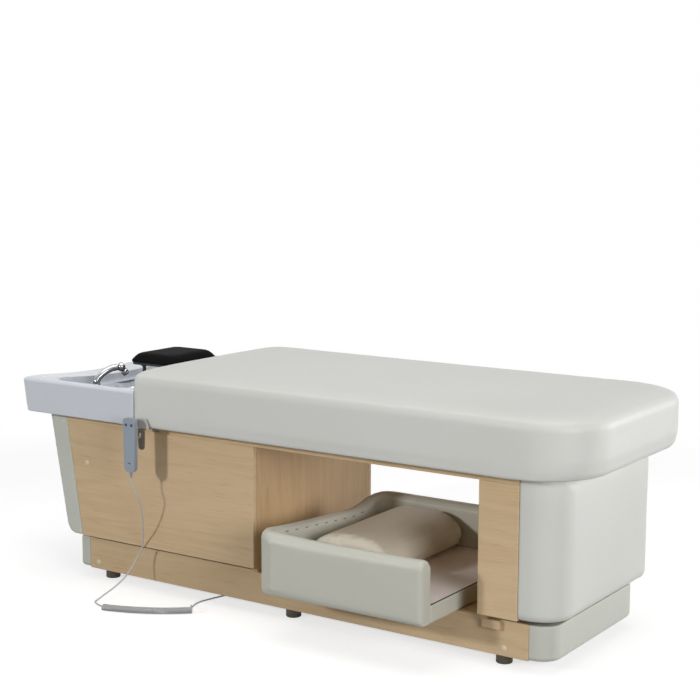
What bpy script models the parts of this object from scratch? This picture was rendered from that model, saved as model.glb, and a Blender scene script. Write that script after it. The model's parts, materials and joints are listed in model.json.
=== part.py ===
# Massage bed with a shampoo basin at its head end, a pull-out tray and a wired handset.
# Metres, +Z up. Along the bed x runs from the head end of the mattress to the foot,
# y = 0 is the centre line with the front at -Y, and z = 0 is the floor.
import math

import bmesh
import bpy
import numpy as np
from mathutils import Matrix, Vector

# General sizes
CLEAR = 0.0003  # gap between pieces that touch
BOARD = 0.018  # thickness of the panels, posts and partitions
EDGE_BREAK = 0.0015  # small bevel along the boards' edges

# Heights, from the floor up
FOOT_HEIGHT = 0.0355  # plinth above the floor
PLINTH_HEIGHT = 0.107
PANEL_LIFT = 0.0175  # panels, posts and foot block above the deck
CABINET_HEIGHT = 0.4075
TOP_BOARD = 0.0255

# Mattress
MATTRESS_LENGTH = 1.586
MATTRESS_WIDTH = 0.800
MATTRESS_THICKNESS = 0.1715
MATTRESS_CROWN = 0.010
MATTRESS_FOOT_RADIUS = 0.180
MATTRESS_HEAD_RADIUS = 0.003
MATTRESS_TOP_EDGE = 0.024  # rounding of the top edge
MATTRESS_HEAD_EDGE = 0.004  # the head end's top edge is crisper
MATTRESS_FOOT_EDGE = 0.055  # rounding under the foot end
MATTRESS_DRAW = 0.003  # how far the long sides pull in between their corners

# Base: plinth, cabinet, opening, post and foot block, along x
SIDE_OVERHANG = 0.064  # mattress past the base at each long side
PLINTH_RECESS = 0.043  # plinth behind the panels
PLINTH_HEAD_X = -0.341
PLINTH_WOOD_HEAD_X = -0.3005
PLINTH_WOOD_FOOT_X = 1.3756
PLINTH_FOOT_X = 1.449
PLINTH_EDGE = 0.012  # rounding under the padded plinth ends
PLINTH_HEAD_RADIUS = 0.003
HEAD_PANEL_X = -0.2935  # inner face of the padded head panel at its foot
HEAD_PANEL_LEAN = 0.156  # how far that face leans out for each metre of height
HEAD_PANEL_THICKNESS = 0.065  # at its foot
HEAD_PANEL_SWELL = 0.026  # gain in thickness for each metre of height
HEAD_PANEL_RADIUS = 0.003
HEAD_PANEL_EDGE = 0.030
CABINET_FOOT_X = 0.436
OPENING_LENGTH = 0.796
POST_WIDTH = 0.127
BLOCK_LENGTH = 0.128
BLOCK_RADIUS = 0.096
BLOCK_WALL = 0.024
BLOCK_EDGE = 0.020
CLEAT_SIZE = (0.057, 0.015, 0.0275)
CLEAT_DROP = 0.001  # top of a cleat below the deck
BEARER_WIDTH = 0.060

# Levelling feet
FOOT_X = (-0.243, 0.523, 1.274)
FOOT_INSET = 0.050  # feet behind the plinth's face
FOOT_RADIUS = 0.0245
STEM_RADIUS = 0.005
STEM_REACH = 0.055  # stem inside the bearer

# Basin
BASIN_HEAD_X = -0.513
BASIN_HEIGHT = 0.1145
BASIN_GAP = 0.004  # to the mattress
BASIN_TAPER = 0.008
BASIN_CORNER = 0.035
BASIN_RIM_EDGE = 0.006
BASIN_SADDLE = 0.020  # dip in the head rim
BASIN_SADDLE_HALF = 0.310
RECESS_HEAD_X = -0.398
RECESS_NECK_X = -0.052
RECESS_HALF = 0.362
RECESS_DEPTH = 0.050
RECESS_RADIUS = 0.060
RECESS_DRAFT = 0.006
BOWL_HEAD_X = -0.384
BOWL_NECK_X = -0.204
BOWL_HALF = 0.125
BOWL_DEPTH = 0.145  # below the ledge
BOWL_WALL = 0.010
BOWL_WAIST = 0.78  # share of its half width where the bowl passes the top board
NOTCH_CLEAR = 0.004  # bowl to the top board
NOTCH_RADIUS = 0.030
DRAIN_RADIUS = 0.022
DRAIN_SHIFT = 0.030  # drain towards the neck from the bowl's middle
WASTE_LIP = 0.007  # waste flange past the drain
WASTE_TAIL = 0.065  # below the bowl's floor
WASTE_CLEAR = 0.0012
NUT_HEIGHT = 0.012
NUT_LIP = 0.010
TRAP_RADIUS = 0.019
TRAP_OUTLET = 0.050  # below the tail

# Taps, on the ledge at the front of the basin
SPOUT_X = -0.329
SPOUT_Y = -0.217
SPOUT_TURN = 64.0  # direction of the spout from +X, degrees
SPOUT_LENGTH = 0.0903
SPOUT_RISE = 0.072  # ball above the ledge
SPOUT_RADIUS = 0.0105
BALL_RADIUS = 0.0150
NOZZLE_TILT = 37.0  # nozzle from straight down, degrees
MIXER_X = -0.100
MIXER_Y = -0.288
MIXER_TURN = 95.0  # direction of the mixer's lever from +X, degrees
SHANK_RADIUS = 0.0155
SHANK_CLEAR = 0.0015
SHANK_DROP = 0.022  # end of a shank below the cabinet's top
COLLAR_HEIGHT = 0.020  # above the ledge
COLLAR_RADIUS = 0.0125
FLANGE_RADIUS = 0.024
FLANGE_HEIGHT = 0.006
NOZZLE_NECK = 0.0095
NOZZLE_RADIUS = 0.0130
NOZZLE_LENGTH = 0.031  # from the ball's middle
MIXER_RADIUS = 0.020
MIXER_LIP = 0.0025  # flange past the body
MIXER_BALL = 0.009
MIXER_BALL_RISE = 0.010
HOOD_RADIUS = 0.0145
LEVER_REACH = 0.040
LEVER_RADIUS = 0.0032
HOSE_RADIUS = 0.006
HOSE_STEP = 0.020
INLET_X = -0.020
INLET_SHIFT = 0.040  # inlet block behind the mixer
INLET_SIZE = (0.120, 0.050, 0.032)
NIPPLE_SPACING = 0.070
NIPPLE_HEIGHT = 0.022

# Neck pad
NECK_X = -0.1665
NECK_LENGTH = 0.236
NECK_WIDTH = 0.193
NECK_CORNER = 0.018
NECK_PLATE = 0.008
NECK_THICKNESS = 0.030
NECK_SLOPE = 0.020  # how far its sides come in on the way up
NECK_STAND = 0.0325  # plate above the basin's rim
PEG_X = -0.210
PEG_RADIUS = 0.006
PEG_SPACING = 0.212
PEG_DEPTH = 0.038  # below the ledge
PEG_CLEAR = 0.0005

# Tray and bolster
TRAY_HEAD_X = 0.559
TRAY_LENGTH = 0.590
TRAY_DEPTH = 0.690
TRAY_PULL = 0.165  # how far the tray stands out of the front
TRAY_WALL = 0.050
TRAY_HEIGHT = 0.196
TRAY_CORNER = 0.010  # inside corner at the front
TRAY_BACK_CORNER = 0.045  # inside corner at the back
TRAY_DIP = 0.031  # lowest place of the head-side wall's top
TRAY_DIP_PLACE = 0.78  # share of the head-side wall in front of that place
TRAY_DIP_END = 1.10  # share at which the wall is at full height again
TRAY_FRONT_DROP = 0.005
TRAY_END_ROUND = 0.011
TRAY_BOTTOM_ROUND = 0.014
TRAY_LEAN = 0.020  # inner slope of the head-side wall
TRAY_FLOOR = 0.056
TRAY_LINER = 0.003
LINER_INSET = 0.004  # liner inside the wall
GLIDE_HEIGHT = 0.003
GLIDE_LENGTH = 0.380
GLIDE_INSET = 0.050
BOLSTER_LENGTH = 0.464
BOLSTER_WIDTH = 0.290
BOLSTER_FOOT = 0.212  # width on the floor
BOLSTER_HEIGHT = 0.118
BOLSTER_BULGE = 0.045  # height of its widest place
BOLSTER_X = 0.790
BOLSTER_Y = -0.112
BOLSTER_TURN = 1.0  # degrees

# Handset, its bracket and its cord
HANDSET_X = 0.018
HANDSET_WIDTH = 0.050
HANDSET_HEIGHT = 0.176
HANDSET_TAPER = 0.003  # narrower at the foot on each side
HANDSET_BOTTOM = 0.434
HANDSET_FRONT = 0.007  # thickness of the front cover
HANDSET_BACK = 0.008  # thickness of the back cover
HANDSET_WALL = 0.002
HANDSET_EDGE = 0.0016
HANDSET_FROM_MATTRESS = 0.026
BUTTON_RADIUS = 0.0046
BUTTON_SPACING = 0.0235
BUTTON_DROP = 0.022  # below the handset's top
BUTTON_TRAVEL = 0.0012
BRACKET_X = 0.0405
BRACKET_WIDTH = 0.029
BRACKET_STEEL = 0.003
BRACKET_DROP = 0.070  # tongue below the mattress
SLOT_X = 0.035
SLOT_SIZE = (0.008, 0.016)
SLOT_DROP = 0.016  # top of the slot below the mattress
HOOK_STUB = 0.0046
HOOK_LEG = 0.0070
TONGUE_GAP = 0.006  # middle of the tongue in front of the mattress
BOARD_THICKNESS = 0.0016
BUTTON_LIP = 0.0015
BUTTON_BASE = 0.0012
BOOT_LENGTH = 0.018
BOOT_RADIUS = 0.0055
CORD_RADIUS = 0.0024
CORD_STEP = 0.012
COIL_RADIUS = 0.0086  # at the middle of the cord
COIL_TURNS = 52.5
COIL_POINTS = 8  # for each turn

# Control box under the deck
BOX_X = 0.235
BOX_Y = -0.125
BOX_SIZE = (0.140, 0.100, 0.050)
GLAND_LENGTH = 0.022
GLAND_RADIUS = 0.009
INLET_PLUG = (0.048, 0.018, 0.028)  # mains inlet
INLET_RECESS = (0.026, 0.018)

# Places worked out from the sizes
Z_PLINTH = FOOT_HEIGHT
Z_DECK = Z_PLINTH + PLINTH_HEIGHT
Z_PANEL = Z_DECK + PANEL_LIFT
Z_CABINET = Z_DECK + CABINET_HEIGHT
Z_BED = Z_CABINET + TOP_BOARD
Z_RIM = Z_BED + BASIN_HEIGHT
Z_LEDGE = Z_RIM - RECESS_DEPTH
Z_TRAY = Z_DECK + GLIDE_HEIGHT
Z_TRAY_FLOOR = Z_TRAY + TRAY_FLOOR
HALF_BED = MATTRESS_WIDTH / 2
HALF_BASE = HALF_BED - SIDE_OVERHANG
HALF_PLINTH = HALF_BASE - PLINTH_RECESS
POST_X = CABINET_FOOT_X + OPENING_LENGTH
BLOCK_X = POST_X + POST_WIDTH
BLOCK_FOOT_X = BLOCK_X + BLOCK_LENGTH
TRAY_FRONT_Y = -HALF_BASE - TRAY_PULL
TRAY_BACK_Y = TRAY_FRONT_Y + TRAY_DEPTH
TRAY_FOOT_X = TRAY_HEAD_X + TRAY_LENGTH
HANDSET_BACK_Y = -HALF_BED - HANDSET_FROM_MATTRESS
HANDSET_SPLIT_Y = HANDSET_BACK_Y - HANDSET_BACK
HANDSET_FRONT_Y = HANDSET_SPLIT_Y - HANDSET_FRONT
DRAIN_X = (BOWL_HEAD_X + BOWL_NECK_X) / 2 + DRAIN_SHIFT
Z_BOWL = Z_LEDGE - BOWL_DEPTH
ORIGIN = Vector((
    -(BASIN_HEAD_X + MATTRESS_LENGTH) / 2,
    -(TRAY_FRONT_Y + HALF_BED) / 2,
    0.0,
))

for old in list(bpy.data.objects):
    bpy.data.objects.remove(old, do_unlink=True)

parts = bpy.data.collections.new("massage_bed")
cutters = bpy.data.collections.new("cutters")
bpy.context.scene.collection.children.link(parts)
bpy.context.scene.collection.children.link(cutters)
places = {}


# Finishes
def finish(name, colour, roughness, metallic=0.0):
    made = bpy.data.materials.new(name)
    made.use_nodes = True
    shader = made.node_tree.nodes["Principled BSDF"]
    shader.inputs["Base Color"].default_value = (*colour, 1.0)
    shader.inputs["Roughness"].default_value = roughness
    shader.inputs["Metallic"].default_value = metallic
    return made


OAK = (0.47, 0.34, 0.21)
OFF_WHITE = (0.66, 0.67, 0.63)
BASIN_WHITE = (0.72, 0.74, 0.78)
CHROME = (0.75, 0.75, 0.76)
BLACK = (0.015, 0.015, 0.017)
GREY = (0.30, 0.33, 0.36)
DARK_GREY = (0.07, 0.07, 0.07)
CREAM = (0.66, 0.58, 0.42)
BEIGE = (0.52, 0.46, 0.38)
MAUVE = (0.27, 0.22, 0.19)
CORD_GREY = (0.26, 0.26, 0.26)


# Bodies: empties on the joints' axes, all under the bed
def body(name, point, holder=None):
    empty = bpy.data.objects.new(name, None)
    parts.objects.link(empty)
    places[name] = Vector(point)
    if holder:
        empty.parent = holder
        empty.location = places[name] - places[holder.name]
    return empty


bed = body("bed", (0, 0, 0))
bed.location = ORIGIN


def attach(piece, holder):
    piece.parent = holder
    piece.matrix_parent_inverse = Matrix.Translation(-places[holder.name])


def dress(piece, look, holder):
    colour, roughness, metallic = look
    piece.data.materials.append(finish(piece.name, colour, roughness, metallic))
    attach(piece, holder)
    return piece


# Ways of making a shape
def mesh_piece(name, bm, look, holder=bed, smooth=False):
    bmesh.ops.recalc_face_normals(bm, faces=bm.faces)
    mesh = bpy.data.meshes.new(name)
    bm.to_mesh(mesh)
    bm.free()
    if smooth:
        mesh.shade_smooth()
        mesh.set_sharp_from_angle(angle=math.radians(40))
    piece = bpy.data.objects.new(name, mesh)
    parts.objects.link(piece)
    return dress(piece, look, holder)


def bevelled(piece, width, segments=1):
    bevel = piece.modifiers.new("edges", "BEVEL")
    bevel.width = width
    bevel.segments = segments
    bevel.limit_method = "ANGLE"
    bevel.angle_limit = math.radians(40)
    return piece


def box_mesh(low, high, into=None):
    bm = into or bmesh.new()
    low = Vector(low)
    high = Vector(high)
    size = high - low
    place = Matrix.Translation((low + high) / 2) @ Matrix.Diagonal((*size, 1.0))
    bmesh.ops.create_cube(bm, size=1.0, matrix=place)
    return bm


def box(name, low, high, look, holder=bed):
    return mesh_piece(name, box_mesh(low, high), look, holder)


def rounded(corners, steps=6):
    # Closed outline through corners (x, y, radius), each corner turned into an arc
    outline = []
    for i, (x, y, radius) in enumerate(corners):
        here = Vector((x, y))
        if radius == 0:
            outline.append(here)
            continue
        before = (Vector(corners[i - 1][:2]) - here).normalized()
        after = (Vector(corners[(i + 1) % len(corners)][:2]) - here).normalized()
        half = before.angle(after) / 2
        centre = here + (before + after).normalized() * radius / math.sin(half)
        start = here + before * radius / math.tan(half) - centre
        end = here + after * radius / math.tan(half) - centre
        sweep = start.angle_signed(end)
        for k in range(steps + 1):
            turn = Matrix.Rotation(-sweep * k / steps, 2)
            outline.append(centre + turn @ start)
    return outline


def flat(name, outlines, thickness, look, holder=bed, place=None):
    # Flat piece from a 2D curve, its first outline the edge and the others holes
    curve = bpy.data.curves.new(name, "CURVE")
    curve.dimensions = "2D"
    curve.fill_mode = "BOTH"
    curve.extrude = thickness / 2
    for outline in outlines:
        spline = curve.splines.new("POLY")
        spline.points.add(len(outline) - 1)
        for point, (x, y) in zip(spline.points, outline):
            point.co = (x, y, 0, 1)
        spline.use_cyclic_u = True
    return solid(bpy.data.objects.new(name, curve), look, holder, place or Matrix())


def solid(drawn, look, holder, place=Matrix()):
    # A curve's evaluated mesh, with its caps welded on
    name = drawn.name
    drawn.name = name + "_drawn"
    parts.objects.link(drawn)
    graph = bpy.context.evaluated_depsgraph_get()
    mesh = bpy.data.meshes.new_from_object(drawn.evaluated_get(graph))
    bpy.data.objects.remove(drawn, do_unlink=True)
    bm = bmesh.new()
    bm.from_mesh(mesh)
    bpy.data.meshes.remove(mesh)
    bmesh.ops.remove_doubles(bm, verts=bm.verts, dist=0.00001)
    bmesh.ops.transform(bm, matrix=place, verts=bm.verts)
    return mesh_piece(name, bm, look, holder)


def upright(y):
    # Lays an (x, z) outline in the plane at this y
    return Matrix.Translation((0, y, 0)) @ Matrix.Rotation(math.radians(90), 4, "X")


def side_on(x):
    # Lays a (y, z) outline in the plane at this x
    turn = Matrix.Rotation(math.radians(90), 4, "Z") @ Matrix.Rotation(math.radians(90), 4, "X")
    return Matrix.Translation((x, 0, 0)) @ turn


def turned(name, profile, look, holder=bed, place=Matrix(), steps=20, ring=False):
    # Profile of (radius, height) down the outer side, spun about its axis
    bm = bmesh.new()
    verts = [bm.verts.new((radius, 0, height)) for radius, height in profile]
    for a, b in zip(verts, verts[1:]):
        bm.edges.new((a, b))
    if ring:
        bm.edges.new((verts[-1], verts[0]))
    mesh = bpy.data.meshes.new(name)
    bm.to_mesh(mesh)
    bm.free()
    piece = bpy.data.objects.new(name, mesh)
    parts.objects.link(piece)
    screw = piece.modifiers.new("spin", "SCREW")
    screw.steps = steps
    screw.render_steps = steps
    screw.use_merge_vertices = True
    screw.merge_threshold = 0.00001
    piece.matrix_basis = place
    return dress(piece, look, holder)


def along(start, direction):
    # Places a turned shape with its axis from start along a direction
    turn = Vector(direction).to_track_quat("Z", "Y").to_matrix().to_4x4()
    return Matrix.Translation(start) @ turn


def smooth_route(points, step):
    # Even points along a smooth curve through the chosen ones, straight where it starts and ends
    chosen = [Vector(p) for p in points]
    chosen.insert(1, (chosen[0] + chosen[1]) / 2)
    chosen.insert(-1, (chosen[-1] + chosen[-2]) / 2)
    ends = [2 * chosen[0] - chosen[1], *chosen, 2 * chosen[-1] - chosen[-2]]
    fine = []
    for a, b, c, d in zip(ends, ends[1:], ends[2:], ends[3:]):
        for k in range(24):
            t = k / 24
            fine.append(0.5 * (2 * b + (c - a) * t + (2 * a - 5 * b + 4 * c - d) * t * t
                               + (3 * b - a - 3 * c + d) * t ** 3))
    fine.append(chosen[-1])
    lengths = np.cumsum([0.0] + [(b - a).length for a, b in zip(fine, fine[1:])])
    count = max(2, round(lengths[-1] / step))
    wanted = np.linspace(0, lengths[-1], count + 1)
    axes = [np.interp(wanted, lengths, [p[i] for p in fine]) for i in range(3)]
    return [Vector(p) for p in zip(*axes)]


def tube(name, points, radius, look, holder=bed, resolution=2):
    curve = bpy.data.curves.new(name, "CURVE")
    curve.dimensions = "3D"
    curve.bevel_depth = radius
    curve.bevel_resolution = resolution
    curve.use_fill_caps = True
    spline = curve.splines.new("POLY")
    spline.points.add(len(points) - 1)
    for point, place in zip(spline.points, points):
        point.co = (*place, 1)
    return solid(bpy.data.objects.new(name, curve), look, holder)


def loft(name, rings, look, holder=bed):
    bm = bmesh.new()
    rows = [[bm.verts.new(p) for p in ring] for ring in rings]
    for low, high in zip(rows, rows[1:]):
        for i in range(len(low)):
            bm.faces.new((low[i - 1], low[i], high[i], high[i - 1]))
    bm.faces.new(rows[0])
    bm.faces.new(rows[-1])
    return mesh_piece(name, bm, look, holder, smooth=True)


def level(outline, z):
    return [Vector((x, y, z)) for x, y in outline]


def as_cutter(piece):
    parts.objects.unlink(piece)
    cutters.objects.link(piece)
    piece.hide_render = True
    piece.display_type = "WIRE"
    return piece


def boolean(piece, tool, operation="DIFFERENCE"):
    step = piece.modifiers.new(tool.name, "BOOLEAN")
    step.operation = operation
    step.solver = "EXACT"
    step.object = as_cutter(tool)
    return piece


def drill(piece, name, x, y, radius, low, high, steps=20):
    # Round hole along z
    tool = turned(name, [(0, high), (radius, high), (radius, low), (0, low)], PLAIN,
                  place=Matrix.Translation((x, y, 0)), steps=steps)
    return boolean(piece, tool)


WOOD = (OAK, 0.45, 0.0)
PADDED = (OFF_WHITE, 0.5, 0.0)
GLAZED = (BASIN_WHITE, 0.12, 0.0)
PLATED = (CHROME, 0.08, 1.0)
RUBBER = (DARK_GREY, 0.6, 0.0)
BLACK_PAD = (BLACK, 0.5, 0.0)
GREY_PLASTIC = (GREY, 0.45, 0.0)
PLAIN = (CREAM, 0.4, 0.0)
CORD = (CORD_GREY, 0.5, 0.0)
CIRCUIT = ((0.02, 0.12, 0.06), 0.5, 0.0)


# Outlines
def end_outline(x_in, x_out, half, radius, inner_radius=0.0):
    # Straight inner and outer ends, with their own corner radii
    return rounded([
        (x_in, -half, inner_radius), (x_out, -half, radius),
        (x_out, half, radius), (x_in, half, inner_radius),
    ])


def drawn_in(outline, draw):
    # The two long sides of an outline with four round corners, pulled in between those corners
    corner = len(outline) // 4
    front = pulled(outline[corner - 1], outline[corner], draw)
    back = pulled(outline[3 * corner - 1], outline[3 * corner], draw)
    return [*outline[:corner], *front, *outline[corner:3 * corner], *back, *outline[3 * corner:]]


def pulled(a, b, draw, steps=8):
    points = []
    for k in range(1, steps):
        point = a.lerp(b, k / steps)
        point.y -= math.copysign(draw * math.sin(math.pi * k / steps), point.y)
        points.append(point)
    return points


def oval(centre_x, half_x, half_y, z, steps=32):
    turns = [2 * math.pi * k / steps for k in range(steps)]
    return [Vector((centre_x + half_x * math.cos(t), half_y * math.sin(t), z)) for t in turns]


def round_hole(x, y, radius, steps=16):
    turns = [2 * math.pi * k / steps for k in range(steps)]
    return [(x + radius * math.cos(t), y + radius * math.sin(t)) for t in turns]


def round_box(low_x, high_x, half, radius, z, steps=5):
    return level(rounded([
        (low_x, -half, radius), (high_x, -half, radius), (high_x, half, radius), (low_x, half, radius),
    ], steps), z)


def head_face(z):
    # Inner face of the padded head panel at this height
    return HEAD_PANEL_X - HEAD_PANEL_LEAN * (z - Z_PANEL)


# Plinth
def plinth():
    for name, side in (("plinth_front_board", -1), ("plinth_back_board", 1)):
        faces = sorted((side * HALF_PLINTH, side * (HALF_PLINTH - BOARD)))
        low = (PLINTH_WOOD_HEAD_X, faces[0], Z_PLINTH)
        bevelled(box(name, low, (PLINTH_WOOD_FOOT_X, faces[1], Z_DECK), WOOD), EDGE_BREAK)
    inner = HALF_PLINTH - BOARD - CLEAR
    box("base_deck", (PLINTH_WOOD_HEAD_X, -inner, Z_DECK - BOARD),
        (PLINTH_WOOD_FOOT_X, inner, Z_DECK), WOOD)
    base_frame(inner)
    padded_end("plinth_head_end", PLINTH_WOOD_HEAD_X - CLEAR, PLINTH_HEAD_X, PLINTH_HEAD_RADIUS)
    thick = PLINTH_FOOT_X - PLINTH_WOOD_FOOT_X - PLINTH_EDGE - 2 * CLEAR
    padded_end("plinth_foot_end", PLINTH_WOOD_FOOT_X + CLEAR, PLINTH_FOOT_X, thick)
    length, depth, height = CLEAT_SIZE
    face = -HALF_PLINTH - CLEAR
    top = Z_DECK - CLEAT_DROP
    for name, x in (("cabinet_cleat", CABINET_FOOT_X), ("post_cleat", POST_X)):
        bevelled(box(name, (x, face - depth, top - height), (x + length, face, top), WOOD), EDGE_BREAK)


def base_frame(inner):
    # Three bearers over the feet on one spine, as a ladder
    front = []
    spine = BOARD / 2
    for x in FOOT_X:
        near, far = x - BEARER_WIDTH / 2, x + BEARER_WIDTH / 2
        front += [(near, -spine), (near, -inner), (far, -inner), (far, -spine)]
    outline = front[1:-1] + [(x, -y) for x, y in front[1:-1]][::-1]
    spots = [(x, side * (HALF_PLINTH - FOOT_INSET)) for x in FOOT_X for side in (-1, 1)]
    holes = [round_hole(x, y, STEM_RADIUS + CLEAR) for x, y in spots]
    high = Z_DECK - BOARD - CLEAR
    place = Matrix.Translation((0, 0, (high + Z_PLINTH) / 2))
    flat("base_frame", [outline, *holes], high - Z_PLINTH, WOOD, place=place)


def padded_end(name, x_in, x_out, radius):
    out = math.copysign(1, x_out - x_in)
    rings = []
    edge = PLINTH_EDGE
    for inset, rise in ((edge, 0), (edge * 0.3, edge * 0.3), (0, edge), (0, PLINTH_HEIGHT)):
        outline = end_outline(x_in, x_out - out * inset, HALF_PLINTH - inset, radius)
        rings.append(level(outline, Z_PLINTH + rise))
    loft(name, rings, PADDED)


def levelling_feet():
    tops = (("head", FOOT_X[0]), ("middle", FOOT_X[1]), ("foot", FOOT_X[2]))
    for row, x in tops:
        for end, side in (("front", -1), ("back", 1)):
            place = Vector((x, side * (HALF_PLINTH - FOOT_INSET), 0))
            name = f"levelling_foot_{row}_{end}"
            stem_top = Z_PLINTH + STEM_REACH
            profile = [
                (0, stem_top), (STEM_RADIUS, stem_top), (STEM_RADIUS, Z_PLINTH - CLEAR),
                (FOOT_RADIUS * 0.94, Z_PLINTH - CLEAR), (FOOT_RADIUS, Z_PLINTH * 0.85),
                (FOOT_RADIUS, 0.003), (FOOT_RADIUS - 0.002, 0), (0, 0),
            ]
            axis = body(name + "_axis", place, bed)
            turned(name, profile, RUBBER, axis, Matrix.Translation(place), steps=16)


# Cabinet, opening and foot block
def cabinet():
    outline = [
        Vector((HEAD_PANEL_X + CLEAR, Z_PANEL)), Vector((CABINET_FOOT_X, Z_PANEL)),
        Vector((CABINET_FOOT_X, Z_CABINET - CLEAR)),
        Vector((head_face(Z_CABINET) + CLEAR, Z_CABINET - CLEAR)),
    ]
    for name, side in (("cabinet_front_panel", -1), ("cabinet_back_panel", 1)):
        panel = flat(name, [outline], BOARD, WOOD, place=upright(side * (HALF_BASE - BOARD / 2)))
        bevelled(panel, EDGE_BREAK)
    inner = HALF_BASE - BOARD - CLEAR
    box("cabinet_partition", (CABINET_FOOT_X - BOARD, -inner, Z_DECK + CLEAR),
        (CABINET_FOOT_X, inner, Z_CABINET - CLEAR), WOOD)
    box("foot_partition", (POST_X, -inner, Z_DECK + CLEAR),
        (POST_X + BOARD, inner, Z_CABINET - CLEAR), WOOD)
    for name, side in (("foot_post_front", -1), ("foot_post_back", 1)):
        faces = sorted((side * HALF_BASE, side * (HALF_BASE - BOARD)))
        high = (BLOCK_X, faces[1], Z_CABINET - CLEAR)
        bevelled(box(name, (POST_X, faces[0], Z_PANEL), high, WOOD), EDGE_BREAK)
    head_end_panel()
    foot_end_block()


def head_end_panel():
    rings = []
    edge = HEAD_PANEL_EDGE
    for inset, rise in ((edge, 0), (edge * 0.3, edge * 0.25), (0, edge), (0, Z_BED - CLEAR - Z_PANEL)):
        z = Z_PANEL + rise
        x_in = head_face(z) - CLEAR
        x_out = head_face(z) - HEAD_PANEL_THICKNESS - HEAD_PANEL_SWELL * rise + inset
        rings.append(level(end_outline(x_in, x_out, HALF_BASE, HEAD_PANEL_RADIUS), z))
    loft("head_end_panel", rings, PADDED)


def foot_end_block():
    rings = []
    edge = BLOCK_EDGE
    top = Z_BED - CLEAR - Z_PANEL
    x_in = BLOCK_X + CLEAR
    for inset, rise in ((edge, 0), (edge * 0.3, edge * 0.3), (0, edge), (0, top)):
        outline = end_outline(x_in, BLOCK_FOOT_X - inset, HALF_BASE - inset, BLOCK_RADIUS - inset)
        rings.append(level(outline, Z_PANEL + rise))
    block = loft("foot_end_block", rings, PADDED)
    hollow = end_outline(x_in - BLOCK_WALL, BLOCK_FOOT_X - BLOCK_WALL, HALF_BASE - BLOCK_WALL,
                         BLOCK_RADIUS - BLOCK_WALL)
    boolean(block, loft("block_hollow", [level(hollow, Z_DECK - BOARD), level(hollow, Z_BED)], PLAIN))


def top_board():
    head = head_face(Z_CABINET) + 2 * CLEAR
    waist = bowl_rings(BOWL_WALL + NOTCH_CLEAR)[2]
    notch_x = max(p.x for p in waist)
    notch = max(p.y for p in waist)
    edge = rounded([
        (head, -HALF_BASE, 0), (BLOCK_X, -HALF_BASE, 0), (BLOCK_X, HALF_BASE, 0),
        (head, HALF_BASE, 0), (head, notch, 0),
        (notch_x, notch, NOTCH_RADIUS), (notch_x, -notch, NOTCH_RADIUS), (head, -notch, 0),
    ])
    spots = ((SPOUT_X, SPOUT_Y), (MIXER_X, MIXER_Y))
    holes = [round_hole(x, y, SHANK_RADIUS + SHANK_CLEAR) for x, y in spots]
    flat("top_board", [edge, *holes], TOP_BOARD - CLEAR, WOOD,
         place=Matrix.Translation((0, 0, Z_BED - TOP_BOARD / 2 - CLEAR / 2)))


def mattress():
    top = MATTRESS_THICKNESS
    edge = MATTRESS_TOP_EDGE
    foot = MATTRESS_FOOT_EDGE
    levels = [
        # inset of the sides, inset of the foot end, height
        (0.006, foot, CLEAR), (0.001, foot * 0.45, foot * 0.12), (0, foot * 0.12, foot * 0.45),
        (0, 0, foot), (0, 0, top - edge), (edge * 0.3, edge * 0.3, top - edge * 0.3), (edge, edge, top),
        (0.05, 0.05, top + MATTRESS_CROWN * 0.5), (0.10, 0.10, top + MATTRESS_CROWN * 0.8),
        (0.19, 0.19, top + MATTRESS_CROWN * 0.95), (0.30, 0.30, top + MATTRESS_CROWN),
    ]
    rings = []
    for inset, foot_inset, rise in levels:
        x_head = MATTRESS_HEAD_EDGE * min(1, max(0, rise - top + edge * 0.5) / edge)
        radius = max(MATTRESS_FOOT_RADIUS - inset * 0.4, 0.05)
        x_foot = MATTRESS_LENGTH - foot_inset
        outline = end_outline(x_head, x_foot, HALF_BED - inset, radius, MATTRESS_HEAD_RADIUS)
        rings.append(level(drawn_in(outline, MATTRESS_DRAW), Z_BED + rise))
    loft("mattress", rings, PADDED)


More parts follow.
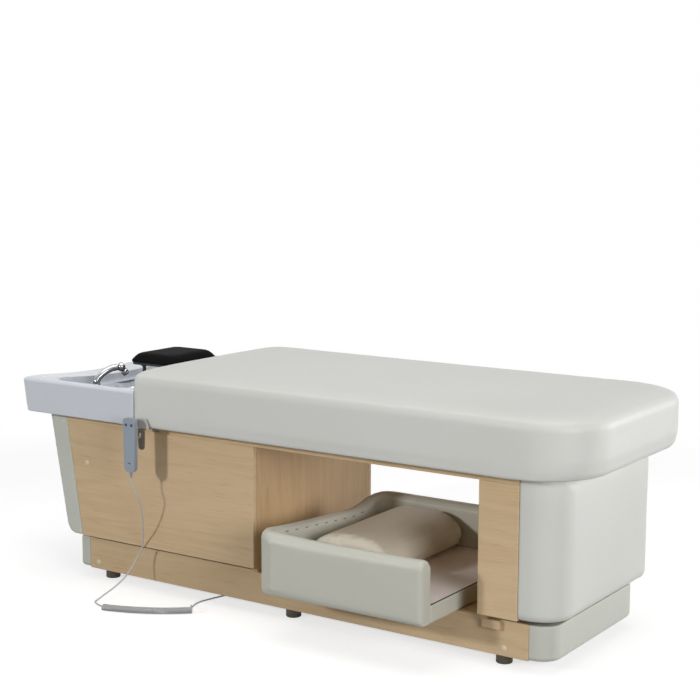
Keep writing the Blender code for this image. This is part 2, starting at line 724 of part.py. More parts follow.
# Basin and taps
def basin():
    low = Z_BED + CLEAR
    rings = []
    for inset, z in ((BASIN_TAPER + 0.006, low), (BASIN_TAPER, low + 0.006), (0, Z_RIM - BASIN_RIM_EDGE),
                     (BASIN_RIM_EDGE, Z_RIM)):
        outline = end_outline(-BASIN_GAP, BASIN_HEAD_X + inset, HALF_BED - inset, BASIN_CORNER)
        rings.append(level(outline, z))
    shape = loft("basin", rings, GLAZED)
    boolean(shape, loft("bowl_outside", bowl_rings(BOWL_WALL), PLAIN), "UNION")
    saddle_radius = (BASIN_SADDLE_HALF ** 2 + BASIN_SADDLE ** 2) / (2 * BASIN_SADDLE)
    span = (BASIN_HEAD_X - 0.05, (RECESS_HEAD_X + RECESS_NECK_X) / 2)
    past = HALF_BED * 1.1
    arc = [math.asin(past / saddle_radius) * k / 8 for k in range(-8, 9)]
    dip = Z_RIM - BASIN_SADDLE
    scoop = [(saddle_radius * math.sin(t), dip + saddle_radius * (1 - math.cos(t))) for t in arc]
    scoop += [(past, Z_RIM + 0.1), (-past, Z_RIM + 0.1)]
    rows = [[Vector((x, y, z)) for y, z in scoop] for x in span]
    boolean(shape, loft("saddle_cut", rows, PLAIN))
    recess = [
        round_box(RECESS_HEAD_X + RECESS_DRAFT, RECESS_NECK_X - RECESS_DRAFT, RECESS_HALF - RECESS_DRAFT,
                  RECESS_RADIUS - RECESS_DRAFT, Z_LEDGE),
        round_box(RECESS_HEAD_X, RECESS_NECK_X, RECESS_HALF, RECESS_RADIUS, Z_RIM),
        round_box(RECESS_HEAD_X, RECESS_NECK_X, RECESS_HALF, RECESS_RADIUS, Z_RIM + 0.05),
    ]
    boolean(shape, loft("recess_cut", recess, PLAIN))
    boolean(shape, loft("bowl_cut", bowl_rings(0), PLAIN))
    drill(shape, "drain_cut", DRAIN_X, 0, DRAIN_RADIUS, Z_BOWL - 0.05, Z_BOWL + 0.05)
    for name, x, y in (("spout_hole", SPOUT_X, SPOUT_Y), ("mixer_hole", MIXER_X, MIXER_Y)):
        drill(shape, name, x, y, SHANK_RADIUS + SHANK_CLEAR, Z_BED - 0.02, Z_LEDGE + 0.02)
    for side in (-1, 1):
        drill(shape, f"peg_hole_{side}", PEG_X, side * PEG_SPACING / 2, PEG_RADIUS + PEG_CLEAR,
              Z_LEDGE - PEG_DEPTH, Z_LEDGE + 0.02, steps=16)


def bowl_rings(grow):
    # Sections of the bowl from its floor to just above the ledge, wider and lower by grow
    middle = (BOWL_HEAD_X + BOWL_NECK_X) / 2
    half = (BOWL_NECK_X - BOWL_HEAD_X) / 2
    sections = [
        # share of the half length, share of the half width, shift of the middle, depth below the ledge
        (0.36, 0.40, 0.030, BOWL_DEPTH + grow), (0.60, 0.62, 0.027, BOWL_DEPTH * 0.88 + grow),
        (BOWL_WAIST, BOWL_WAIST, 0.018, Z_LEDGE - Z_BED), (0.94, 0.95, 0.005, 0.012),
    ]
    if grow == 0:
        sections += [(1.0, 1.0, 0.0, 0.0), (1.0, 1.0, 0.0, -0.004)]
    return [oval(middle + shift, half * long + grow, BOWL_HALF * wide + grow, Z_LEDGE - depth)
            for long, wide, shift, depth in sections]


def waste():
    flange = Z_BOWL + CLEAR
    tail = Z_BOWL - WASTE_TAIL
    outside = DRAIN_RADIUS - WASTE_CLEAR
    bore = DRAIN_RADIUS - 0.005
    profile = [
        (DRAIN_RADIUS * 0.7, flange + 0.0015), (DRAIN_RADIUS + WASTE_LIP - 0.001, flange + 0.002),
        (DRAIN_RADIUS + WASTE_LIP, flange), (outside, flange), (outside, tail), (bore, tail),
        (bore, flange - 0.004), (DRAIN_RADIUS * 0.7, flange - 0.002),
    ]
    turned("basin_waste", profile, PLATED, place=Matrix.Translation((DRAIN_X, 0, 0)), ring=True)
    under = Z_BOWL - BOWL_WALL - CLEAR
    nut_low = under - NUT_HEIGHT
    nut = [
        (DRAIN_RADIUS + NUT_LIP, under), (DRAIN_RADIUS + NUT_LIP, nut_low),
        (outside + CLEAR, nut_low), (outside + CLEAR, under),
    ]
    turned("waste_nut", nut, GREY_PLASTIC, place=Matrix.Translation((DRAIN_X, 0, 0)), ring=True)
    wall = HALF_BASE - BOARD - CLEAR
    route = [
        (DRAIN_X, 0, tail - CLEAR), (DRAIN_X, 0, tail - 0.05), (DRAIN_X, 0.018, tail - 0.098),
        (DRAIN_X, 0.055, tail - 0.118), (DRAIN_X, 0.092, tail - 0.098), (DRAIN_X, 0.115, tail - 0.062),
        (DRAIN_X, 0.150, tail - TRAP_OUTLET + 0.005), (DRAIN_X, 0.200, tail - TRAP_OUTLET + 0.003),
        (DRAIN_X, wall - 0.050, tail - TRAP_OUTLET), (DRAIN_X, wall, tail - TRAP_OUTLET),
    ]
    tube("waste_trap", smooth_route(route, 0.020), TRAP_RADIUS, GREY_PLASTIC, resolution=3)


def spout_heading():
    turn = math.radians(SPOUT_TURN)
    return Vector((math.cos(turn), math.sin(turn), 0))


def spout_ball():
    return Vector((SPOUT_X, SPOUT_Y, Z_LEDGE + SPOUT_RISE)) + spout_heading() * SPOUT_LENGTH


def taps():
    shank_end = Z_CABINET - SHANK_DROP
    seat = Z_LEDGE + CLEAR
    collar = seat + COLLAR_HEIGHT
    base = [
        (0, collar), (COLLAR_RADIUS, collar), (COLLAR_RADIUS, seat + COLLAR_HEIGHT / 2),
        (FLANGE_RADIUS, seat + FLANGE_HEIGHT), (FLANGE_RADIUS, seat),
        (SHANK_RADIUS, seat), (SHANK_RADIUS, shank_end), (0, shank_end),
    ]
    turned("spout_base", base, PLATED, place=Matrix.Translation((SPOUT_X, SPOUT_Y, 0)))
    spout = body("spout_axis", (SPOUT_X, SPOUT_Y, collar), bed)
    heading = spout_heading()
    foot = Vector((SPOUT_X, SPOUT_Y, 0))
    ball = spout_ball()
    reach = SPOUT_LENGTH - BALL_RADIUS - CLEAR
    tip = ball - heading * (BALL_RADIUS + CLEAR)
    rise = ball.z - collar
    route = [
        foot + Vector((0, 0, collar + CLEAR)), foot + Vector((0, 0, collar + rise * 0.3)),
        foot + heading * reach * 0.16 + Vector((0, 0, collar + rise * 0.58)),
        foot + heading * reach * 0.50 + Vector((0, 0, collar + rise * 0.82)),
        foot + heading * reach * 0.80 + Vector((0, 0, collar + rise * 0.98)), tip,
    ]
    tube("spout", smooth_route(route, 0.007), SPOUT_RADIUS, PLATED, spout)
    nozzle = body("nozzle_axis", ball, spout)
    down = math.radians(NOZZLE_TILT)
    aim = heading * math.sin(down) + Vector((0, 0, -math.cos(down)))
    arc = [math.radians(20 * k) for k in range(7)]
    profile = [(BALL_RADIUS * math.sin(t), -BALL_RADIUS * math.cos(t)) for t in arc]
    profile += [
        (NOZZLE_NECK, BALL_RADIUS * 0.9), (NOZZLE_RADIUS, BALL_RADIUS * 1.1),
        (NOZZLE_RADIUS, NOZZLE_LENGTH - 0.002), (NOZZLE_RADIUS - 0.002, NOZZLE_LENGTH), (0, NOZZLE_LENGTH),
    ]
    turned("spray_nozzle", profile[::-1], PLATED, nozzle, along(ball, aim))
    mixer(seat, shank_end)


def ball_profile(radius, height, degrees, steps):
    # Profile of a ball at a height, from its top down to so many degrees
    turns = [math.radians(degrees * k / steps) for k in range(steps + 1)]
    return [(radius * math.sin(t), height + radius * math.cos(t)) for t in turns]


def mixer(seat, shank_end):
    place = Matrix.Translation((MIXER_X, MIXER_Y, 0))
    top = seat + COLLAR_HEIGHT
    wide = MIXER_RADIUS + MIXER_LIP
    profile = [
        (0, top), (MIXER_RADIUS - 0.001, top), (MIXER_RADIUS, top - 0.002), (MIXER_RADIUS, seat + 0.004),
        (wide, seat + 0.003), (wide, seat), (SHANK_RADIUS, seat), (SHANK_RADIUS, shank_end), (0, shank_end),
    ]
    turned("mixer_body", profile, PLATED, place=place)
    swivel = body("mixer_axis", (MIXER_X, MIXER_Y, top), bed)
    ball = top + MIXER_BALL_RISE
    stem = ball_profile(MIXER_BALL, ball, 135, 6)
    stem += [(0.006, top + CLEAR), (0, top + CLEAR)]
    turned("mixer_cartridge", stem, PLATED, swivel, place, steps=16)
    lift = body("lever_axis", (MIXER_X, MIXER_Y, ball), swivel)
    hood = ball_profile(HOOD_RADIUS, ball, 90, 5)
    hood += ball_profile(MIXER_BALL + CLEAR, ball, 90, 5)[::-1]
    lever = turned("mixer_lever", hood, PLATED, lift, place)
    turn = math.radians(MIXER_TURN)
    heading = Vector((math.cos(turn), math.sin(turn), 0))
    middle = Vector((MIXER_X, MIXER_Y, ball + 0.006))
    steps = ((0.28, 0), (0.50, 0.002), (0.75, 0.005), (1.0, 0.009))
    rod = [middle + heading * LEVER_REACH * share + Vector((0, 0, rise)) for share, rise in steps]
    boolean(lever, tube("lever_rod", rod, LEVER_RADIUS, PLATED), "UNION")
    hoses(shank_end)


def hoses(shank_end):
    # Three hoses side by side under the mixer: two from the inlet block and one to the spout
    start = shank_end - CLEAR
    spread = HOSE_RADIUS * 1.25
    tall = INLET_SIZE[2]
    nipple_top = Z_DECK + tall + NIPPLE_HEIGHT
    inlet_y = MIXER_Y + INLET_SHIFT
    half = Vector((INLET_SIZE[0] / 2, INLET_SIZE[1] / 2, 0))
    low = Vector((INLET_X, inlet_y, Z_DECK + CLEAR))
    block = box("water_inlet_block", low - half, low + half + Vector((0, 0, tall)), PLATED)
    hose_y = MIXER_Y + spread * 0.5
    for name, side in (("hot", -1), ("cold", 1)):
        x = MIXER_X + side * spread
        end_x = INLET_X + side * NIPPLE_SPACING / 2
        wide = HOSE_RADIUS + 0.003
        root = Z_DECK + tall - 0.005
        nipple = [(0, nipple_top), (wide, nipple_top), (wide, root), (0, root)]
        place = Matrix.Translation((end_x, inlet_y, 0))
        boolean(block, turned(f"{name}_nipple", nipple, PLATED, place=place, steps=12), "UNION")
        top = nipple_top + CLEAR
        route = [
            (x, hose_y, start), (x, hose_y, start - 0.05),
            (x + (end_x - x) * 0.2, hose_y + 0.01, start - 0.13),
            (x + (end_x - x) * 0.8, inlet_y - 0.01, top + 0.12),
            (end_x, inlet_y, top + 0.05), (end_x, inlet_y, top),
        ]
        tube(f"{name}_hose", smooth_route(route, HOSE_STEP), HOSE_RADIUS, GREY_PLASTIC)
    under = start - 0.11
    y = MIXER_Y - spread * 1.25
    route = [
        (MIXER_X, y, start), (MIXER_X, y, start - 0.05), (MIXER_X - 0.020, y + 0.002, under + 0.02),
        ((MIXER_X + SPOUT_X) / 2, (MIXER_Y + SPOUT_Y) / 2, under),
        (SPOUT_X + 0.020, SPOUT_Y - 0.006, under + 0.02), (SPOUT_X, SPOUT_Y, start - 0.05),
        (SPOUT_X, SPOUT_Y, start),
    ]
    tube("spout_hose", smooth_route(route, HOSE_STEP), HOSE_RADIUS, GREY_PLASTIC)


# Neck pad on two pegs
def neck_pad():
    rest = body("neck_pad_axis", (NECK_X, 0, Z_LEDGE), bed)
    plate_low = Z_RIM + NECK_STAND
    pad_low = plate_low + NECK_PLATE + CLEAR
    half_x = NECK_WIDTH / 2
    half_y = NECK_LENGTH / 2
    # share of the slope, share of the thickness
    levels = ((0, 0), (0.2, 0.18), (0.6, 0.55), (1.0, 0.82), (1.45, 0.95), (2.4, 1.0))
    rings = []
    for slope, share in levels:
        inset = NECK_SLOPE * slope
        height = pad_low + NECK_THICKNESS * share
        long = half_x - inset
        rings.append(round_box(NECK_X - long, NECK_X + long, half_y - inset, NECK_CORNER, height))
    loft("neck_pad", rings, BLACK_PAD, rest)
    plate = round_box(NECK_X - half_x + 0.001, NECK_X + half_x - 0.001, half_y - 0.001, NECK_CORNER, 0)
    frame = flat("neck_pad_frame", [[p.xy for p in plate]], NECK_PLATE, BLACK_PAD, rest,
                 Matrix.Translation((0, 0, plate_low + NECK_PLATE / 2)))
    low = Z_LEDGE - PEG_DEPTH + CLEAR
    top = plate_low + NECK_PLATE / 2
    shoulder = PEG_RADIUS + 0.004
    peg = [(0, top), (shoulder, top), (shoulder, plate_low - 0.004), (PEG_RADIUS, plate_low - 0.004),
           (PEG_RADIUS, low + 0.002), (PEG_RADIUS - 0.002, low), (0, low)]
    for side, end in ((-1, "front"), (1, "back")):
        place = Matrix.Translation((PEG_X, side * PEG_SPACING / 2, 0))
        boolean(frame, turned(f"neck_peg_{end}", peg, BLACK_PAD, place=place, steps=16), "UNION")


# Tray and bolster
def tray():
    slide = body("tray_axis", ((TRAY_HEAD_X + TRAY_FOOT_X) / 2, TRAY_FRONT_Y, Z_TRAY), bed)
    tray_wall(slide)
    high = Z_TRAY_FLOOR - TRAY_LINER - CLEAR
    place = Matrix.Translation((0, 0, (high + Z_TRAY) / 2))
    base = flat("tray_base", [tray_outline(CLEAR)], high - Z_TRAY, PADDED, slide, place)
    bevelled(base, 0.003, 2)
    place = Matrix.Translation((0, 0, Z_TRAY_FLOOR - TRAY_LINER / 2))
    flat("tray_floor_liner", [tray_outline(LINER_INSET)], TRAY_LINER, (MAUVE, 0.6, 0.0), slide, place)
    inner_x = TRAY_HEAD_X + TRAY_WALL
    middle = (TRAY_FRONT_Y + TRAY_BACK_Y) / 2 + TRAY_PULL / 2
    box("tray_glide_sheet", (inner_x + GLIDE_INSET, middle - GLIDE_LENGTH / 2, Z_DECK + CLEAR),
        (TRAY_FOOT_X - GLIDE_INSET, middle + GLIDE_LENGTH / 2, Z_TRAY - CLEAR), RUBBER, slide)
    bolster(slide)


def tray_outline(inset):
    # Floor of the tray inside its wall, drawn in by inset
    head = TRAY_HEAD_X + TRAY_WALL + inset
    foot = TRAY_FOOT_X - inset
    front = TRAY_FRONT_Y + TRAY_WALL + inset
    back = TRAY_BACK_Y - TRAY_WALL - inset
    return rounded([
        (head, front, TRAY_CORNER - inset), (foot, front, 0),
        (foot, back, 0), (head, back, TRAY_BACK_CORNER - inset),
    ])


def wall_run(y, turn, side):
    # Middle line of the wall and its outward direction, from the open end round one corner
    corner_x = TRAY_HEAD_X + TRAY_WALL / 2 + turn
    straight = [TRAY_FOOT_X - TRAY_END_ROUND * k for k in (0, 0.12, 0.45, 1)]
    straight += [straight[-1] + (corner_x - straight[-1]) * k for k in (0.25, 0.5, 0.75, 0.9, 1)]
    run = [(Vector((x, y)), Vector((0, side))) for x in straight]
    for k in range(1, 6):
        a = math.radians(90 * k / 6)
        out = Vector((-math.sin(a), side * math.cos(a)))
        run.append((Vector((corner_x, y - side * turn)) + out * turn, out))
    return run


def tray_wall(slide):
    # Padded wall round three sides: front, head side with a dip, and back
    mid = TRAY_WALL / 2
    head = TRAY_HEAD_X + mid
    front = TRAY_FRONT_Y + mid
    back = TRAY_BACK_Y - mid
    front_turn = TRAY_CORNER + mid
    back_turn = TRAY_BACK_CORNER + mid
    start = front + front_turn
    length = back - back_turn - start
    path = wall_run(front, front_turn, -1)
    path += [(Vector((head, start + length * k / 14)), Vector((-1, 0))) for k in range(15)]
    path += wall_run(back, back_turn, 1)[::-1]
    rings = []
    for centre, out in path:
        bow = dip_share((centre.y - start) / length)
        run = max(0, centre.x - head - front_turn) / (TRAY_FOOT_X - head - front_turn)
        drop = TRAY_FRONT_DROP * min(1, run * 5) if out.y < -0.5 else 0
        near_end = min(1, max(0, 1 - (TRAY_FOOT_X - centre.x) / TRAY_END_ROUND))
        trim = TRAY_END_ROUND * (1 - math.sqrt(1 - near_end ** 2))
        top = Z_TRAY + TRAY_HEIGHT - TRAY_DIP * bow - drop - trim
        rings.append(wall_section(centre, out, mid, top, trim, TRAY_LEAN * bow))
    loft("tray_wall", rings, PADDED, slide)


def dip_share(share):
    # How far the head-side wall's top has sunk, from the front corner to the back corner
    if share < TRAY_DIP_PLACE:
        return max(0, share / TRAY_DIP_PLACE) ** 0.8
    left = max(0, TRAY_DIP_END - share) / (TRAY_DIP_END - TRAY_DIP_PLACE)
    return math.sin(math.pi / 2 * left)


def wall_section(centre, out, half, top, trim, lean):
    # Upright section with a rounded top, a rounded outer foot and an inner face that may lean
    curve = TRAY_BOTTOM_ROUND
    floor = Z_TRAY_FLOOR + 2 * CLEAR
    across = [
        (-half, Z_TRAY), (-half, floor), (-half - lean, floor + lean * 0.15),
        (-half - lean * 0.5, floor + (top - floor) * 0.4),
    ]
    shoulder = top - half
    outer = half - trim
    for degrees, wide in ((15, -half), (50, -half), (90, -half), (60, outer), (30, outer), (0, outer)):
        turn = math.radians(degrees)
        across.append((wide * math.cos(turn), shoulder + half * math.sin(turn)))
    across += [(outer, Z_TRAY + curve), (outer - curve * 0.3, Z_TRAY + curve * 0.3), (outer - curve, Z_TRAY)]
    return [Vector((centre.x + out.x * w, centre.y + out.y * w, z)) for w, z in across]


def bolster(slide):
    low = Z_TRAY_FLOOR + CLEAR
    lift = body("bolster_axis", (BOLSTER_X, BOLSTER_Y, low), slide)
    turn = Matrix.Rotation(math.radians(BOLSTER_TURN), 3, "Z")
    half = BOLSTER_LENGTH / 2
    rings = []
    # Inset from an end, and the section's share of the full one there
    ends = ((0, 0.90), (0.005, 0.965), (0.016, 0.995), (half * 0.6, 1.0))
    sections = [(inset - half, size) for inset, size in ends]
    sections += [(half - inset, size) for inset, size in ends[::-1]]
    for y, size in sections:
        ring = []
        for k in range(17):
            a = math.pi * k / 16
            across = math.copysign(abs(math.cos(a)) ** 0.8, math.cos(a))
            height = BOLSTER_BULGE + (BOLSTER_HEIGHT - BOLSTER_BULGE) * math.sin(a)
            ring.append((across * BOLSTER_WIDTH / 2 * size, height * size))
        wide = BOLSTER_WIDTH * 0.7 + BOLSTER_FOOT * 0.3
        under = [(-wide / 2, BOLSTER_BULGE * 0.4), (-BOLSTER_FOOT / 2, 0)]
        under += [(-x, z) for x, z in under[::-1]]
        ring += [(x * size, z * size) for x, z in under]
        rings.append([turn @ Vector((x, y, 0)) + Vector((BOLSTER_X, BOLSTER_Y, low + z)) for x, z in ring])
    loft("bolster", rings, (BEIGE, 0.6, 0.0), lift)


# Handset on its bracket, and the control box
def handset():
    hang = body("handset_axis", (HANDSET_X, HANDSET_BACK_Y, HANDSET_BOTTOM + HANDSET_HEIGHT), bed)
    top = HANDSET_BOTTOM + HANDSET_HEIGHT
    edge = handset_outline(0)
    button_z = top - BUTTON_DROP
    front = flat("handset_front_cover", [edge], HANDSET_FRONT - CLEAR, GREY_PLASTIC, hang,
                 upright((HANDSET_FRONT_Y + HANDSET_SPLIT_Y - CLEAR) / 2))
    back = flat("handset_back_cover", [edge], HANDSET_BACK, GREY_PLASTIC, hang,
                upright((HANDSET_SPLIT_Y + HANDSET_BACK_Y) / 2))
    hollow_edge = handset_outline(HANDSET_WALL)
    for cover, depth, seam in ((front, HANDSET_FRONT, -1), (back, HANDSET_BACK, 1)):
        bevelled(cover, HANDSET_EDGE, 2)
        room = depth - HANDSET_WALL
        past = 0.001
        hollow = flat(cover.name + "_hollow", [hollow_edge], room + past, PLAIN,
                      place=upright(HANDSET_SPLIT_Y + seam * (room - past) / 2))
        boolean(cover, hollow)
    for end, side in (("left", -1), ("right", 1)):
        x = HANDSET_X + side * BUTTON_SPACING / 2
        place = along((x, HANDSET_FRONT_Y, button_z), (0, -1, 0))
        wide = BUTTON_RADIUS + CLEAR
        hole = [(0, 0.02), (wide, 0.02), (wide, -0.02), (0, -0.02)]
        boolean(front, turned(f"button_hole_{end}", hole, PLAIN, place=place, steps=16))
        press = body(f"button_{end}_axis", (x, HANDSET_FRONT_Y, button_z), hang)
        inner = HANDSET_WALL + CLEAR
        lip = BUTTON_RADIUS + BUTTON_LIP
        profile = [
            (0, BUTTON_TRAVEL + 0.0006), (BUTTON_RADIUS * 0.8, BUTTON_TRAVEL + 0.0005),
            (BUTTON_RADIUS, BUTTON_TRAVEL), (BUTTON_RADIUS, -inner), (lip, -inner),
            (lip, -inner - BUTTON_BASE), (0, -inner - BUTTON_BASE),
        ]
        turned(f"handset_button_{end}", profile, RUBBER, press, place, steps=16)
    circuit_board(hang)
    handset_hook(hang)
    boot_top = HANDSET_BOTTOM - CLEAR
    boot = [
        (0, 0), (BOOT_RADIUS, 0), (BOOT_RADIUS * 0.87, -BOOT_LENGTH * 0.5),
        (CORD_RADIUS + 0.0008, -BOOT_LENGTH), (0, -BOOT_LENGTH),
    ]
    middle = (HANDSET_FRONT_Y + HANDSET_BACK_Y) / 2
    turned("handset_strain_relief", boot, GREY_PLASTIC, hang,
           Matrix.Translation((HANDSET_X, middle, boot_top)), steps=12)


def circuit_board(hang):
    y = HANDSET_FRONT_Y + HANDSET_WALL + 0.0042
    board = flat("handset_circuit_board", [handset_outline(HANDSET_WALL + 0.0006)], BOARD_THICKNESS,
                 CIRCUIT, hang, upright(y))
    low = (HANDSET_X - HANDSET_WIDTH, y - 0.01, HANDSET_BOTTOM - 0.01)
    high = (HANDSET_X + HANDSET_WIDTH, y + 0.01, HANDSET_BOTTOM + 0.012)
    boolean(board, box("circuit_trim", low, high, PLAIN))


def handset_outline(inset):
    half = HANDSET_WIDTH / 2 - inset
    narrow = half - HANDSET_TAPER
    low = HANDSET_BOTTOM + inset
    high = HANDSET_BOTTOM + HANDSET_HEIGHT - inset
    foot = HANDSET_WIDTH * 0.36 - inset
    head = HANDSET_WIDTH * 0.21 - inset
    return rounded([
        (HANDSET_X - narrow, low, foot), (HANDSET_X + narrow, low, foot),
        (HANDSET_X + half, high, head), (HANDSET_X - half, high, head),
    ])


def tongue_y():
    # Middle of the bracket's tongue, just in front of the mattress
    return -HALF_BED - TONGUE_GAP


def handset_hook(hang):
    slot_low = Z_BED - SLOT_DROP - SLOT_SIZE[1] + CLEAR
    through = tongue_y() + BRACKET_STEEL / 2 + CLEAR
    stub_front = HANDSET_BACK_Y + CLEAR
    leg = 0.0022
    outline = [
        Vector((stub_front, slot_low)), Vector((through, slot_low)), Vector((through, slot_low - HOOK_LEG)),
        Vector((through + leg, slot_low - HOOK_LEG)), Vector((through + leg, slot_low + HOOK_STUB)),
        Vector((stub_front, slot_low + HOOK_STUB)),
    ]
    wide = SLOT_SIZE[0] - 4 * CLEAR
    flat("handset_hook", [outline], wide, GREY_PLASTIC, hang, side_on(SLOT_X))


def bracket():
    flange = -HALF_BASE - CLEAR
    arm_top = Z_BED - 0.0015
    y = tongue_y()
    tongue_back = y + BRACKET_STEEL / 2
    foot = Z_CABINET + 0.003
    tongue_front = tongue_back - BRACKET_STEEL
    arm_low = arm_top - BRACKET_STEEL
    lap = arm_top - 0.008
    profile = [
        Vector((flange, foot)), Vector((flange, arm_top)), Vector((tongue_front, arm_top)),
        Vector((tongue_front, lap)), Vector((tongue_back, lap)), Vector((tongue_back, arm_low)),
        Vector((flange - BRACKET_STEEL, arm_low)), Vector((flange - BRACKET_STEEL, foot)),
    ]
    piece = flat("handset_bracket", [profile], BRACKET_WIDTH, RUBBER, place=side_on(BRACKET_X))
    half = BRACKET_WIDTH / 2
    low = Z_BED - BRACKET_DROP
    tongue = rounded([
        (BRACKET_X - half, arm_top - 0.004, 0), (BRACKET_X - half + 0.002, low, half * 0.8),
        (BRACKET_X + half - 0.002, low, half * 0.8), (BRACKET_X + half, arm_top - 0.004, 0),
    ])
    boolean(piece, flat("tongue", [tongue], BRACKET_STEEL, RUBBER, place=upright(y)), "UNION")
    wide, tall = SLOT_SIZE
    slot_top = Z_BED - SLOT_DROP
    boolean(piece, box("tongue_slot", (SLOT_X - wide / 2, y - 0.01, slot_top - tall),
                       (SLOT_X + wide / 2, y + 0.01, slot_top), PLAIN))


def control_box():
    long, deep, tall = BOX_SIZE
    top = Z_DECK - BOARD - CLEAR
    low = top - tall
    case = box("control_box", (BOX_X - long / 2, BOX_Y - deep / 2, low),
               (BOX_X + long / 2, BOX_Y + deep / 2, top), GREY_PLASTIC)
    bevelled(case, 0.003, 1)
    gland = [
        (0, 0), (GLAND_RADIUS, 0), (GLAND_RADIUS, -0.006), (GLAND_RADIUS - 0.002, -0.007),
        (0.0055, -GLAND_LENGTH), (0, -GLAND_LENGTH),
    ]
    turned("cord_gland", gland, RUBBER, place=Matrix.Translation((BOX_X, BOX_Y, low - CLEAR)), steps=12)
    face = BOX_Y + deep / 2 + CLEAR
    middle = low + tall / 2
    wide, thick, high = INLET_PLUG
    inlet = box("mains_inlet", (BOX_X - wide / 2, face, middle - high / 2),
                (BOX_X + wide / 2, face + thick, middle + high / 2), RUBBER)
    wide, high = INLET_RECESS
    boolean(inlet, box("inlet_recess", (BOX_X - wide / 2, face + 0.004, middle - high / 2),
                       (BOX_X + wide / 2, face + 2 * thick, middle + high / 2), PLAIN))
    return Vector((BOX_X, BOX_Y, low - CLEAR - GLAND_LENGTH - CLEAR))


def cord(gland_tip):
    # Hand-chosen middle line of the curly part: its head end, middle and foot end on the floor
    lift = COIL_RADIUS + CORD_RADIUS + 0.0002
    line = [Vector((-0.010, -0.5445, lift)), Vector((0.130, -0.492, lift)), Vector((0.2436, -0.4085, lift))]
    bend = 2 * line[1] - (line[0] + line[2]) / 2

    def middle(t):
        return line[0] * (1 - t) ** 2 + bend * 2 * t * (1 - t) + line[2] * t ** 2

    def across(t):
        run = (bend - line[0]) * (1 - t) + (line[2] - bend) * t
        return Vector((-run.y, run.x, 0)).normalized()

    curls = []
    count = round(COIL_TURNS * COIL_POINTS)
    for k in range(count + 1):
        t = k / count
        angle = -math.pi / 2 - 2 * math.pi * COIL_TURNS * t
        spoke = math.cos(angle) * across(t) + Vector((0, 0, math.sin(angle)))
        curls.append(middle(t) + COIL_RADIUS * spoke)
    tail = 2 * CORD_RADIUS
    curls.insert(0, curls[0] + across(0) * tail)
    curls.append(curls[-1] + across(1) * tail)
    report_gap(curls)
    tube("handset_cord_curls", curls, CORD_RADIUS, CORD, resolution=1)
    floor = CORD_RADIUS + 0.0002
    boot_tip = HANDSET_BOTTOM - 2 * CLEAR - BOOT_LENGTH
    boot = Vector((HANDSET_X, (HANDSET_FRONT_Y + HANDSET_BACK_Y) / 2, boot_tip))
    join = curls[0] + across(0) * CLEAR
    upper = [
        boot, boot - Vector((0, 0, 0.016)), (0.0340, -0.4260, 0.358), (0.0357, -0.4120, 0.329),
        (0.0285, -0.3940, 0.282), (0.0129, -0.3740, 0.232), (-0.0085, -0.3520, 0.186),
        (-0.0200, -0.3430, 0.160), (-0.0300, -0.3440, 0.138), (-0.0402, -0.3540, 0.113),
        (-0.0479, -0.3770, 0.082), (-0.0554, -0.4050, 0.057), (-0.0660, -0.4350, 0.037),
        (-0.0800, -0.4610, 0.020), (-0.0900, -0.4760, 0.008), (-0.0930, -0.4890, floor),
        (-0.0850, -0.5010, floor), (-0.0680, -0.5110, floor),
        (-0.0450, -0.5190, floor), (-0.0250, -0.5230, floor), join + across(0) * 0.020, join,
    ]
    tube("handset_cord_upper", smooth_route(upper, CORD_STEP), CORD_RADIUS, CORD)
    leave = curls[-1] + across(1) * CLEAR
    lower = [
        leave, leave + across(1) * 0.016, (0.2230, -0.3820, 0.0120), (0.2080, -0.3600, floor + 0.002),
        (0.1960, -0.3350, floor), (0.1920, -0.3050, floor), (0.1970, -0.2750, floor),
        (0.2050, -0.2400, floor), (0.2150, -0.2050, floor), (0.2250, -0.1720, floor + 0.001),
        (0.2320, -0.1440, 0.012), (BOX_X, -0.1290, 0.030), gland_tip - Vector((0, 0, 0.012)), gland_tip,
    ]
    tube("handset_cord_lower", smooth_route(lower, CORD_STEP), CORD_RADIUS, CORD)


def report_gap(points):
    # Least gap of the curly cord to itself, measured between points half a turn or more apart
    spots = np.array([list(p) for p in points])
    least = 1.0
    for k in range(COIL_POINTS // 2, COIL_POINTS * 2):
        least = min(least, np.linalg.norm(spots[k:] - spots[:-k], axis=1).min())
    print(f"curly cord: least gap to itself {(least - 2 * CORD_RADIUS) * 1000:.2f} mm")


plinth()
levelling_feet()
cabinet()
top_board()
mattress()
basin()
waste()
taps()
neck_pad()
tray()
handset()
bracket()
cord(control_box())
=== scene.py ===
import json
import math

import bmesh
import bpy
import numpy as np
from mathutils import Matrix, Vector
from mathutils.bvhtree import BVHTree
from mathutils.kdtree import KDTree


